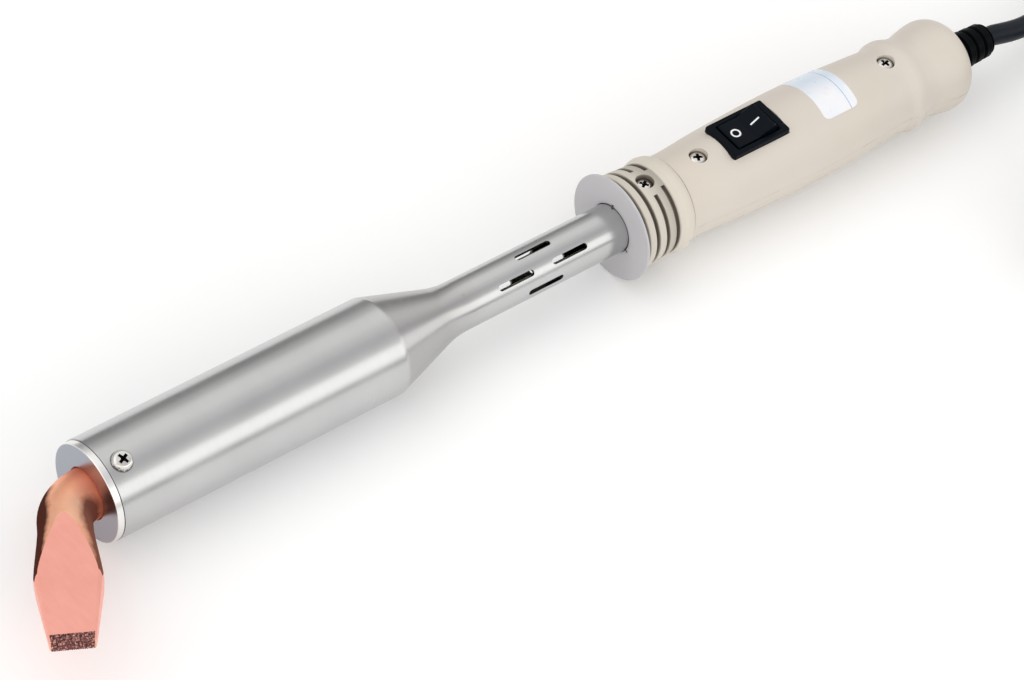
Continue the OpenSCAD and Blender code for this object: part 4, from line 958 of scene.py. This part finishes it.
def make_bit():
    ring = 112
    sections = []
    stations = [74.2, 73.8] + [70 - 8 * k for k in range(9)] + [1.5, -NECK]
    for i, x in enumerate(stations):
        r = 7.2 if i == 0 else 7.5
        sections.append((Vector((x, 0, 0)), Vector((0, 1, 0)), r, r, 2.0, 99))
    for k in range(1, 25):
        t = math.radians(BEND * k / 24)
        c = Vector((-NECK - BEND_R * math.sin(t), -BEND_R + BEND_R * math.cos(t), 0))
        sections.append((c, Vector((-math.sin(t), math.cos(t), 0)), 7.48, 7.48, 2.0, 99))
    us = [46.5, 45] + [44 - 1.0 * k for k in range(19)] + [25, 22, 18, 14, 10, 7, 4, 2, 0.32]
    for u in us:
        f = min(max((44 - u) / 19, 0), 1)
        g = f * f * (3 - 2 * f) * 0.35 + f * 0.65
        ry = 7.48 + (9.2 - 7.48) * g
        rz = 7.48 - 0.45 * f
        sections.append((leg_point(u, 0, 0), V, ry, rz, 2.0 + 0.75 * f, u))
    bm = bmesh.new()
    tag = bm.faces.layers.int.new("blade")
    rows = []
    for c, side, ry, rz, n, u in sections:
        row = []
        for k in range(ring):
            a = 2 * math.pi * k / ring
            cs, sn = math.cos(a), math.sin(a)
            y = ry * math.copysign(abs(cs) ** (2 / n), cs)
            z = rz * math.copysign(abs(sn) ** (2 / n), sn)
            row.append(bm.verts.new(c + side * y + W * z))
        rows.append(row)
    bm.faces.new(rows[0])
    blade = []
    for (a, b), (sa, sb) in zip(zip(rows, rows[1:]), zip(sections, sections[1:])):
        for k in range(ring):
            j = (k + 1) % ring
            f = bm.faces.new((a[k], a[j], b[j], b[k]))
            if sa[5] <= 45:
                blade.append(f)
    blade.append(bm.faces.new(list(reversed(rows[-1]))))
    bmesh.ops.recalc_face_normals(bm, faces=bm.faces)
    for f in blade:
        f[tag] = 1

    def cut(p, q, r, outward):
        """Removes what lies beyond the plane through three points, and closes it with one flat."""
        no = (q - p).cross(r - p).normalized()
        if no.dot(outward) < 0:
            no = -no
        faces = [f for f in bm.faces if f[tag] in (1, 2)]
        geom = list({v for f in faces for v in f.verts}) + list({e for f in faces for e in f.edges}) + faces
        got = bmesh.ops.bisect_plane(bm, geom=geom, dist=1e-5, plane_co=p, plane_no=no, clear_outer=True)
        edges = [e for e in got["geom_cut"] if isinstance(e, bmesh.types.BMEdge) and e.is_boundary]
        made = bmesh.ops.holes_fill(bm, edges=edges, sides=0)["faces"]
        for f in made:
            f[tag] = 2
            f.material_index = 1

    for s in (1, -1):
        up = W * s
        cut(leg_point(44.0, 0, s * 7.5), leg_point(44.0, 3, s * 7.5), leg_point(0, 0, s * 1.5), up)
    for s in (1, -1):
        cut(leg_point(25, s * 9.19, 0), leg_point(25, s * 9.19, 3), leg_point(0, s * 6.0, 0), V * s)
    for s in (1, -1):
        for q in (1, -1):
            h25, h0 = half_thick(25), half_thick(0)
            cut(leg_point(25, s * 8.1, q * h25), leg_point(0, s * 5.62, q * h0),
                leg_point(25, s * 9.2, q * (h25 - 1.5)), V * s + W * q)
    ob = from_bm("bit_body", bm)
    ob.data.transform(Matrix.Rotation(math.radians(-ROLL), 4, "X"))
    bevel(ob, 0.14, 2, 18)
    smooth(ob, 50)
    settle(ob, BIT, "bit_copper", replaces=["bit"], extra=["bit_filed"])

    # The serrated end: fine lengthwise ridges over the last of both flats and over the end face
    pitch, count = 0.6, 20
    path = [(2.8, 1, 0.02, 0.1), (2.6, 1, 0.02, 0.22), (1.4, 1, 0.02, 0.24), (0.35, 1, 0.02, 0.22), (0.1, 0.82, 0, 0),
            (0.06, 0.25, 0, 0), (0.12, 0.0, 0, 0), (0.06, -0.25, 0, 0), (0.1, -0.82, 0, 0), (0.35, -1, 0.02, 0.22),
            (1.4, -1, 0.02, 0.24), (2.6, -1, 0.02, 0.22), (2.8, -1, 0.02, 0.1)]
    cols = 2 * count + 1
    verts, faces = [], []
    for (u, lvl, low, high) in path:
        half = (6.0 + 3.2 * u / 25) - 0.16 - 0.33 * (1 if abs(lvl) == 1 else 0.6)
        for i in range(cols):
            v = -half + 2 * half * i / (cols - 1)
            ridge = i % 2
            jitter = 0.04 * math.sin(i * 2.3 + u * 7) + 0.03 * math.sin(i * 5.1 + u * 3)
            if abs(lvl) == 1:
                w = lvl * (half_thick(u) + low + (high - low) * ridge * (0.85 + jitter))
                p = leg_point(u, v, w)
            else:
                p = leg_point(u + (0.0 if ridge else 0.17) + jitter * 0.4, v, lvl * half_thick(0) * 1.02)
            verts.append(p)
    rows_n = len(path)
    for a in range(rows_n - 1):
        for i in range(cols - 1):
            faces.append((a * cols + i, a * cols + i + 1, (a + 1) * cols + i + 1, (a + 1) * cols + i))
    faces.append(tuple(a * cols for a in range(rows_n)))
    faces.append(tuple(reversed([a * cols + cols - 1 for a in range(rows_n)])))
    faces.append(tuple(range(cols)) + tuple(reversed(range((rows_n - 1) * cols, rows_n * cols))))
    teeth = mesh_object("bit_teeth", verts, faces)
    teeth.data.transform(Matrix.Rotation(math.radians(-ROLL), 4, "X"))
    tidy(teeth, 1e-5)
    smooth(teeth, 25, weighted=False)
    settle(teeth, BIT, "bit_copper", material="bit_oxide")


make_bit()


# ---------------------------------------------------------------- nose cap, barrel and collar

def make_cap():
    ob = lathe("nose_ring", rounded([
        (0, 7.95, 0.15), (0, 14.75, 0.3), (2.05, 14.75, 0.12), (2.2, 14.45), (2.2, 13.95), (12, 13.95, 0.3),
        (12, 8.9), (9, 8.9), (9, 7.56), (0.5, 7.56), (0.35, 7.6)
    ], steps=4), 176)
    for i in range(2):
        combine(ob, around(peg("c", 0, 0, 8, 17, 1.55, 40), 6.9, 19 + 180 * i))
    smooth(ob, 38)
    settle(ob, HANDLE, "zinc_plate", replaces=["nose_cap"])


def arc(x, y, r, a0, a1, steps):
    return [(x + r * math.cos(math.radians(a0 + (a1 - a0) * i / steps)),
             y + r * math.sin(math.radians(a0 + (a1 - a0) * i / steps))) for i in range(steps + 1)]


def make_barrel():
    taper, blend, rb, rn, wall = 17.0, 28.0, 15.0, 7.55, 1.0
    run = (rb - rn - blend * (1 - math.cos(math.radians(taper)))) / math.tan(math.radians(taper))
    bx = 97.8 + run + blend * math.sin(math.radians(taper))
    corner = 3.0
    cut = corner * math.tan(math.radians(taper / 2))
    outer = [(2.2, 14.88), (2.35, 15.0)]
    outer += arc(97.8 - cut, rb - corner, corner, 90, 90 - taper, 8)
    outer += arc(bx, rn + blend, blend, 270 - taper, 270, 22)
    outer += [(219.0, rn)]
    inner = [(219.0, rn - wall)]
    inner += arc(bx, rn + blend, blend + wall, 270, 270 - taper, 12)
    inner += [(97.8 - wall * math.tan(math.radians(taper / 2)), rb - wall), (2.2, rb - wall)]
    ob = lathe("barrel_tube", split_long(outer + inner, 4.0), 192)
    # two groups of slots, each a pair of slots between two single ones
    for middle in (42, 207):
        for angle, places in ((middle - 45, [153.4]), (middle, [143.6, 163.2]), (middle + 45, [153.4])):
            for x in places:
                outline = []
                for s, a0 in ((1, -90), (-1, 90)):
                    outline += [(x + s * 5.4 + 0.95 * math.cos(math.radians(a0 + 180 * k / 12)),
                                 0.95 * math.sin(math.radians(a0 + 180 * k / 12))) for k in range(13)]
                tool = slab("c", [(4.0, outline), (9.5, outline)])
                combine(ob, around(tool, 0, angle))
    for i in range(2):
        combine(ob, around(peg("c", 0, 0, 12, 17, 1.6, 40), 6.9, 19 + 180 * i))
    combine(ob, peg("c", 193.8, 0, 5, 9, 1.55, 32))
    bevel(ob, 0.09, 2, 50)
    smooth(ob, 40)
    settle(ob, HANDLE, "barrel_steel", replaces=["barrel"])


SEAT_Z = 11.3


def make_collar():
    x0, g0, pitch, gw = 183.7, 185.0, 3.9, 1.5
    fin = lambda x: 15.0 - 1.0 * (x - g0) / (3 * pitch + gw)
    prof = [
        (x0 + 0.3, 7.75, 0.1), (x0 + 0.15, 11.95), (x0 + 0.1, 12.95), (x0, 13.5), (x0, 16.1), (x0 + 0.1, 16.42),
        (x0 + 0.3, 16.6), (x0 + 0.6, 16.6), (x0 + 0.82, 16.48), (x0 + 0.9, 16.2), (x0 + 0.9, 12.5, 0.3),
        (g0 + gw, 12.5, 0.3),
        (g0 + gw, fin(g0 + gw), 0.3), (g0 + pitch, fin(g0 + pitch), 0.3), (g0 + pitch, 12.5, 0.3),
        (g0 + pitch + gw, 12.5, 0.3), (g0 + pitch + gw, fin(g0 + pitch + gw), 0.3),
        (g0 + 3 * pitch + gw, 14.0, 1.0), (g0 + 3 * pitch + gw + 1.6, 14.85, 0.8), (g0 + 3 * pitch + gw + 2.8, 15.1, 1.0),
        (202.6, 14.85, 1.2), (204.1, 13.9, 0.15), (204.3, 13.5), (204.3, 7.6), (188.7, 7.6), (188.7, 7.75)
    ]
    ob = lathe("collar_body", split_long(rounded(prof, steps=4), 2.5), 176)
    for i, stop in ((2, 5.3), (3, 3.7)):
        x = g0 + i * pitch
        a = math.degrees(math.asin(stop / 14.5))
        tool = lathe("c", rounded([(x, 12.5, 0.3), (x, 18), (x + gw, 18), (x + gw, 12.5, 0.3)], steps=3),
                     150, start=a, turn=360 - 2 * a)
        combine(ob, tool)
    combine(ob, peg("c", 193.8, 0, SEAT_Z, 18, 2.85, 64))
    combine(ob, peg("c", 193.8, 0, 5, 18, 1.6, 32))
    # the keying notches in the mouth's edge
    for a in (-10, 112, 230):
        combine(ob, around(block("c", -0.6, 1.6, -0.5, 0.5, 7.3, 8.5, 0.2), x0, a))
    bevel(ob, 0.2, 3, 38)
    smooth(ob, 50)
    settle(ob, HANDLE, "collar_plastic", replaces=["heat_collar"])


make_cap()
make_barrel()
make_collar()

for i in range(2):
    s = pan_screw("clamp_screw_%d" % (i + 1), 7.4, skirt=0.35)
    s.data.transform(Matrix.Rotation(math.radians(24 + 37 * i), 4, "Z"))
    s.data.transform(Matrix.Translation((0, 0, 15)))
    around(s, 6.9, 19 + 180 * i)
    settle(s, HANDLE, "screw_zinc", replaces=["clamp_screws"] if i == 0 else (), extra=["cross_dark"])
for name, x, length, a in (("collar_fixing", 193.8, 7, 35), ("grip_screw_front", 214.4, 21, 62), ("grip_screw_rear", 289.1, 21, 10)):
    s = pan_screw(name, length, d=5.2, h=1.8)
    s.data.transform(Matrix.Rotation(math.radians(a), 4, "Z"))
    s.data.transform(Matrix.Translation((x, 0, SEAT_Z)))
    settle(s, HANDLE, "screw_zinc",
           replaces={"collar_fixing": ["collar_screw"], "grip_screw_front": ["housing_screws"]}.get(name, ()),
           extra=["cross_dark"])


# ---------------------------------------------------------------- grip

G0, G1 = 204.3, 319.5
RIDGE = 295.1
STATIONS = [
    (G0 - 10, 14.4), (G0, 13.6), (G0 + 6, 13.5), (G0 + 18, 14.3), (G0 + 38, 15.05), (G0 + 50, 15.2),
    (G0 + 65, 14.75), (RIDGE - 12, 14.0), (RIDGE - 6, 13.6), (RIDGE - 3.4, 13.7), (RIDGE - 1.2, 14.6),
    (RIDGE + 1, 14.5), (RIDGE + 4, 13.55), (RIDGE + 7.4, 13.2), (RIDGE + 11, 13.9), (G1 - 8, 14.65),
    (G1 - 5, 14.05), (G1 - 2.4, 12.25), (G1 - 0.7, 9.45)
]


def grip_radius(x):
    """The grip's radius at a place along the tool, by the same smooth curve as in the CAD model."""
    s = STATIONS
    n = len(s)
    i = max(1, min(n - 2, next((k for k in range(1, n - 1) if s[k][0] <= x <= s[k + 1][0]), n - 2)))
    a, b = s[i], s[i + 1]
    w = b[0] - a[0]
    slope = lambda k: (s[k + 1][1] - s[k - 1][1]) / (s[k + 1][0] - s[k - 1][0])
    m0 = slope(i)
    m1 = (b[1] - a[1]) / w if i == n - 2 else slope(i + 1)
    t = (x - a[0]) / w
    return ((2 * t ** 3 - 3 * t * t + 1) * a[1] + (t ** 3 - 2 * t * t + t) * w * m0
            + (-2 * t ** 3 + 3 * t * t) * b[1] + (t ** 3 - t * t) * w * m1)


def make_grip():
    end = G1 - 0.7
    xs = [G0 + 0.35]
    while xs[-1] < end - 0.8:
        xs.append(xs[-1] + (0.55 if xs[-1] > RIDGE - 8 else 1.6))
    outer = [(G0, 13.2), (G0 + 0.15, 13.45)] + [(x, grip_radius(x)) for x in xs] + [(end, grip_radius(end))]
    outer += [(G1 - 0.3, 8.0), (G1 - 0.05, 7.2), (G1, 6.7), (G1, 6.45), (G1 - 0.15, 6.3)]
    hollow = [(312.5, 6.3), (312.5, 8.3), (308.5, 8.3), (308.5, 4.05), (306.5, 4.05), (306.5, 11.2), (294.1, 11.2),
              (294.1, 6.8), (283.1, 6.8)]
    x = 283.1
    while x > 221.0:
        hollow.append((x, grip_radius(x) - 2))
        x -= 4
    hollow += [(221.0, grip_radius(221.0) - 2), (221.0, 6.55), (219.05, 6.55), (219.05, 7.6), (G0, 7.6)]
    ob = lathe("grip_whole", outer + hollow, 176)
    for x in (214.4, 289.1):
        combine(ob, peg("c", x, 0, SEAT_Z, 20, 2.85, 72))
    bevel(ob, 0.45, 4, 55)
    combine(ob, block("c", 233.4 - 10.9, 233.4 + 10.9, -7.1, 7.1, 13.1, 20, 0.35))
    combine(ob, block("c", 233.4 - 9.6, 233.4 + 9.6, -6.5, 6.5, 0, 20, 0.3))
    for x in (214.4, 289.1):
        combine(ob, peg("c", x, 0, -10.6, 20, 1.6, 40))
    # a low moulded pad carries the sides of the switch's bezel
    pad = block("c", 233.4 - 10.65, 233.4 + 10.65, -6.9, 6.9, 10.2, 13.08, 0.4)
    combine(pad, block("c", 233.4 - 9.6, 233.4 + 9.6, -6.5, 6.5, 5, 20, 0.3))
    combine(ob, pad, "UNION")
    lower = ob.copy()
    lower.data = ob.data.copy()
    link(lower)
    for o, name, z0, z1, nodes in ((ob, "grip_shell_upper", -30, 0.025, ["grip_upper"]),
                                   (lower, "grip_shell_lower", -0.025, 30, ["grip_lower"])):
        combine(o, block("c", 190, 340, -30, 30, z0, z1, 0.5))
        o.name = name
        smooth(o, 42)
        settle(o, HANDLE, "grip_plastic", replaces=nodes)


make_grip()


def make_label():
    """A blank film that follows the grip, with rounded corners and one corner lifting a little."""
    x0, x1, mid, half = 257.5, 271.1, -13.0, 47.5
    arc_len = math.radians(2 * half) * 15.2
    nx, na = 40, 72
    r = 1.9
    verts, faces = [], []
    for side in (0, 1):
        for j in range(na + 1):
            s = arc_len * j / na
            for i in range(nx + 1):
                # rows keep the rounded outline: near the ends each row draws in along a quarter circle
                d = min(s, arc_len - s)
                inset = r - math.sqrt(max(r * r - (r - d) ** 2, 0)) if d < r else 0.0
                x = x0 + inset + (x1 - x0 - 2 * inset) * i / nx
                a = math.radians(-half + 2 * half * j / na + mid)
                curl = 0.10 * max(0, 1 - math.hypot(x - x1, s) / 3.5) ** 2
                rr = grip_radius(x) + (0.115 if side == 0 else 0.01) + curl
                verts.append((x, -rr * math.sin(a), rr * math.cos(a)))
    row, sheet_n = nx + 1, (nx + 1) * (na + 1)
    for j in range(na):
        for i in range(nx):
            a = j * row + i
            faces.append((a, a + 1, a + row + 1, a + row))
            b = sheet_n + a
            faces.append((b, b + row, b + row + 1, b + 1))
    rim = [i for i in range(nx)] + [j * row + nx for j in range(na)] + [na * row + nx - i for i in range(nx)]
    rim += [(na - j) * row for j in range(na)]
    for k, a in enumerate(rim):
        b = rim[(k + 1) % len(rim)]
        faces.append((a, a + sheet_n, b + sheet_n, b))
    ob = tidy(mesh_object("label_blank", verts, faces), 1e-5)
    smooth(ob, 50, weighted=False)
    settle(ob, HANDLE, "label_film", replaces=["label"])


make_label()


# ---------------------------------------------------------------- switch

SX, SEAT, PIVOT_Z = 233.4, 13.1, 12.5


def make_switch():
    top = SEAT + 2
    o = lambda inset: rounded_rect(SX - 10.8, SX + 10.8, -7.0, 7.0, 0.7, inset=inset)
    frame_ob = slab("switch_frame", [(SEAT + 0.02, o(0.0)), (top - 0.45, o(0.0)), (top - 0.2, o(0.09)),
                                     (top - 0.05, o(0.28)), (top, o(0.6))])
    body = block("c", SX - 9.5, SX + 9.5, -6.4, 6.4, SEAT - 12, SEAT + 0.5, 0.4)
    combine(frame_ob, body, "UNION")
    well = rounded_rect(SX - 8.2, SX + 8.2, -5.3, 5.3, 0.5)
    mouth = rounded_rect(SX - 8.2, SX + 8.2, -5.3, 5.3, 0.5, inset=-0.35)
    combine(frame_ob, slab("c", [(SEAT - 10.5, well), (top - 0.35, well), (top + 0.01, mouth), (top + 2, mouth)]))
    for x in (-2, 6):
        combine(frame_ob, block("c", SX + x - 0.45, SX + x + 0.45, -2.45, 2.45, -1, SEAT - 9, 0.05))
    bevel(frame_ob, 0.12, 2, 45)
    smooth(frame_ob, 40)
    settle(frame_ob, HANDLE, "switch_black", replaces=["switch_housing"])

    # rocker: two faces that meet over the pivot, both ends arcs about it
    R, up_top, travel, valley = 7.9, 2.8, 30.0, 3.0
    rise = math.tan(math.radians(travel))
    spread = 1 + rise * rise
    high_x = (math.sqrt(R * R * spread - up_top * up_top) - up_top * rise) / spread
    high = math.degrees(math.acos(high_x / R))
    low = math.degrees(math.asin(up_top / R))
    pts = arc(0, 0, R, 180 + travel, 180 - low + 3, 12)
    pts += [(0.5 - R * math.cos(math.radians(low)), up_top)]
    pts += arc(-valley * math.tan(math.radians(travel / 2)), up_top + valley, valley, 270, 270 + travel, 8)
    pts += [(high_x - 0.75, up_top + (high_x - 0.75) * rise), (high_x - 0.25, up_top + (high_x - 0.75) * rise + 0.05)]
    pts += arc(0, 0, R, high - 4, -travel, 12)
    pts += arc(0, 0, 4, -60, -120, 8)
    n = len(pts)
    verts = [(SX + x, s * 5.0, PIVOT_Z + z) for s in (-1, 1) for x, z in pts]
    faces = [tuple(range(n)), tuple(reversed(range(n, 2 * n)))]
    faces += [(i, n + i, n + (i + 1) % n, (i + 1) % n) for i in range(n)]
    rocker = tidy(mesh_object("rocker_key", verts, faces))
    bevel(rocker, 0.3, 3, 50)
    axle = lathe("c", [(-5.7, 0.001), (-5.7, 0.85), (-5.55, 1.0), (5.55, 1.0), (5.7, 0.85), (5.7, 0.001)], 32, closed=False)
    axle.data.transform(Matrix.Translation((SX, 0, PIVOT_Z)) @ Matrix.Rotation(math.radians(90), 4, "Z"))
    combine(rocker, axle, "UNION")
    smooth(rocker, 40)
    settle(rocker, ROCKER, "rocker_black", replaces=["switch_rocker"])

    # the plain O and I marks, printed in white
    t = math.radians(travel)
    n = 48
    verts, faces = [], []
    for z, (ro, ri) in ((0.0, (1.62, 1.06)), (0.035, (1.6, 1.08))):
        for k in range(n):
            a = 2 * math.pi * k / n
            for r in (ro, ri):
                verts.append((SX - 4.8 + r * math.cos(a), r * math.sin(a), PIVOT_Z + up_top + z))
    for k in range(n):
        a, b = 2 * k, 2 * ((k + 1) % n)
        c, d = a + 2 * n, b + 2 * n
        faces += [(c, d, d + 1, c + 1), (a, b, d, c), (a + 1, c + 1, d + 1, b + 1), (a, a + 1, b + 1, b)]
    ring = tidy(mesh_object("mark_off", verts, faces), 1e-5)
    smooth(ring, 30, weighted=False)
    settle(ring, ROCKER, "rocker_black", material="mark_white")
    bar = slab("mark_on", [(0.0, rounded_rect(0.95, 4.3, -0.27, 0.27, 0.1)), (0.035, rounded_rect(0.97, 4.28, -0.25, 0.25, 0.09))])
    bar.data.transform(Matrix.Translation((SX, 0, PIVOT_Z + up_top)) @ Matrix.Rotation(-t, 4, "Y"))
    smooth(bar, 30, weighted=False)
    settle(bar, ROCKER, "rocker_black", material="mark_white")


make_switch()


# ---------------------------------------------------------------- strain relief

def make_relief():
    x0 = G1 + 0.3
    pitch = 15.1 / 4.2
    prof = [(308.55, 3.32), (308.55, 8.2), (312.5, 8.2), (312.5, 6.2), (x0 - 0.1, 6.2), (x0, 6.1)]
    for i in range(4):
        x = x0 + i * pitch
        r = 6.0 - 0.5 * i / 3
        prof += [(x + 0.15, r, 0.25), (x + pitch - 1.35, r, 0.3), (x + pitch - 1.1, r - 0.95, 0.15),
                 (x + pitch - 0.25, r - 0.95, 0.15)]
    prof += [(334.6 - 0.75, 5.2, 0.4), (334.6, 4.1, 0.3), (334.6, 3.32)]
    ob = lathe("relief_boot", rounded(prof, steps=3), 112)
    smooth(ob, 35)
    settle(ob, HANDLE, "relief_rubber", replaces=["strain_relief"])


make_relief()


# ---------------------------------------------------------------- carried-over CAD nodes

for name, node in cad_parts.items():
    if node.hide_render:
        continue
    for s in node.material_slots:
        key = s.material.name.split(".")[0] if s.material else None
        s.material = MATS[key].m if key in MATS else MATS["clamp_plastic"].m


# ---------------------------------------------------------------- stage and light

def make_stage():
    m = Mat("floor_white", (0.96, 0.96, 0.96), 0.85, spec=0.1)
    soft = m.noise(3, 3)
    m.color(m.ramp(soft, [(0.3, (0.955, 0.955, 0.955)), (0.7, (0.965, 0.965, 0.965))]))
    # the backdrop's own white, for the eye and for what mirrors it, never for the light on the object
    path = m.new("ShaderNodeLightPath").outputs
    seen = m.math("MAXIMUM", path["Is Camera Ray"],
                  m.math("MAXIMUM", path["Is Glossy Ray"], path["Is Transmission Ray"]))
    m.b.inputs["Emission Color"].default_value = (1, 1, 1, 1)
    m.put(m.b.inputs["Emission Strength"], m.math("MULTIPLY", seen, 0.07))
    s = 12.0
    floor = mesh_object("floor", [(-s, -s, 0), (s, -s, 0), (s, s, 0), (-s, s, 0)], [(0, 1, 2, 3)])
    floor.location.z = -0.0002
    floor.data.materials.append(m.m)


def softbox(name, direction, distance, wide, high, radiance, color=(1, 1, 1)):
    aim = Vector((0.02, 0.0, 0.015))
    z = Vector(direction).normalized()
    x = Vector((1, 0, 0))
    x = (x - z * x.dot(z)).normalized()
    y = z.cross(x)
    data = bpy.data.lights.new(name, "AREA")
    data.shape = "RECTANGLE"
    data.size, data.size_y = wide, high
    data.energy = radiance * math.pi * wide * high
    data.color = color
    ob = link(bpy.data.objects.new(name, data))
    ob.matrix_world = Matrix(((x.x, y.x, z.x, 0), (x.y, y.y, z.y, 0), (x.z, y.z, z.z, 0), (0, 0, 0, 1)))
    ob.location = aim + z * distance


def make_world():
    """A soft studio: light ceiling and walls, dimmer towards the horizon, told by direction alone."""
    world = bpy.data.worlds.new("studio")
    bpy.context.scene.world = world
    world.use_nodes = True
    nt = world.node_tree
    bg = nt.nodes["Background"]
    tc = nt.nodes.new("ShaderNodeTexCoord")
    sep = nt.nodes.new("ShaderNodeSeparateXYZ")
    nt.links.new(tc.outputs["Generated"], sep.inputs[0])
    def op(kind, a, b=0.0):
        n = nt.nodes.new("ShaderNodeMath")
        n.operation = kind
        for s, v in zip(n.inputs, (a, b)):
            if isinstance(v, bpy.types.NodeSocket):
                nt.links.new(v, s)
            else:
                s.default_value = v
        return n.outputs[0]
    angle = op("ARCTAN2", op("MULTIPLY", sep.outputs[1], -1.0), sep.outputs[2])
    place = op("ADD", op("MULTIPLY", angle, 1 / math.pi), 0.5)   # 0 at +Y's horizon, 1 at -Y's
    ramp = nt.nodes.new("ShaderNodeValToRGB")
    ramp.color_ramp.interpolation = "EASE"
    stops = [(-90, 0.26), (-74, 0.36), (-54, 0.66), (-36, 1.04), (-16, 1.04), (2, 0.86), (20, 0.66), (34, 0.74),
             (46, 0.95), (78, 0.95), (88, 0.42)]
    e = ramp.color_ramp.elements
    while len(e) < len(stops):
        e.new(0.5)
    for s, (deg, v) in zip(e, stops):
        s.position = (deg + 90) / 180
        tint = (1.0, 0.99, 1.03) if 10 < deg < 30 else (1.0, 0.995, 0.985)
        s.color = (v * tint[0], v * tint[1], v * tint[2], 1)
    nt.links.new(place, ramp.inputs["Fac"])
    # brighter from the bit's side, which the camera looks from
    ahead = op("MINIMUM", op("MAXIMUM", op("SUBTRACT", 0.35, sep.outputs[0]), 0.0), 1.0)
    side = op("ADD", op("MULTIPLY", ahead, 0.45), 1.0)
    scale = nt.nodes.new("ShaderNodeVectorMath")
    scale.operation = "SCALE"
    nt.links.new(ramp.outputs["Color"], scale.inputs[0])
    nt.links.new(side, scale.inputs["Scale"])
    nt.links.new(scale.outputs[0], bg.inputs["Color"])
    bg.inputs["Strength"].default_value = 1.0


make_stage()
make_world()
softbox("key", (0.493, -0.768, 0.409), 1.6, 2.6, 0.75, 0.7, (1.0, 0.99, 0.97))


# ---------------------------------------------------------------- end

bpy.context.view_layer.update()
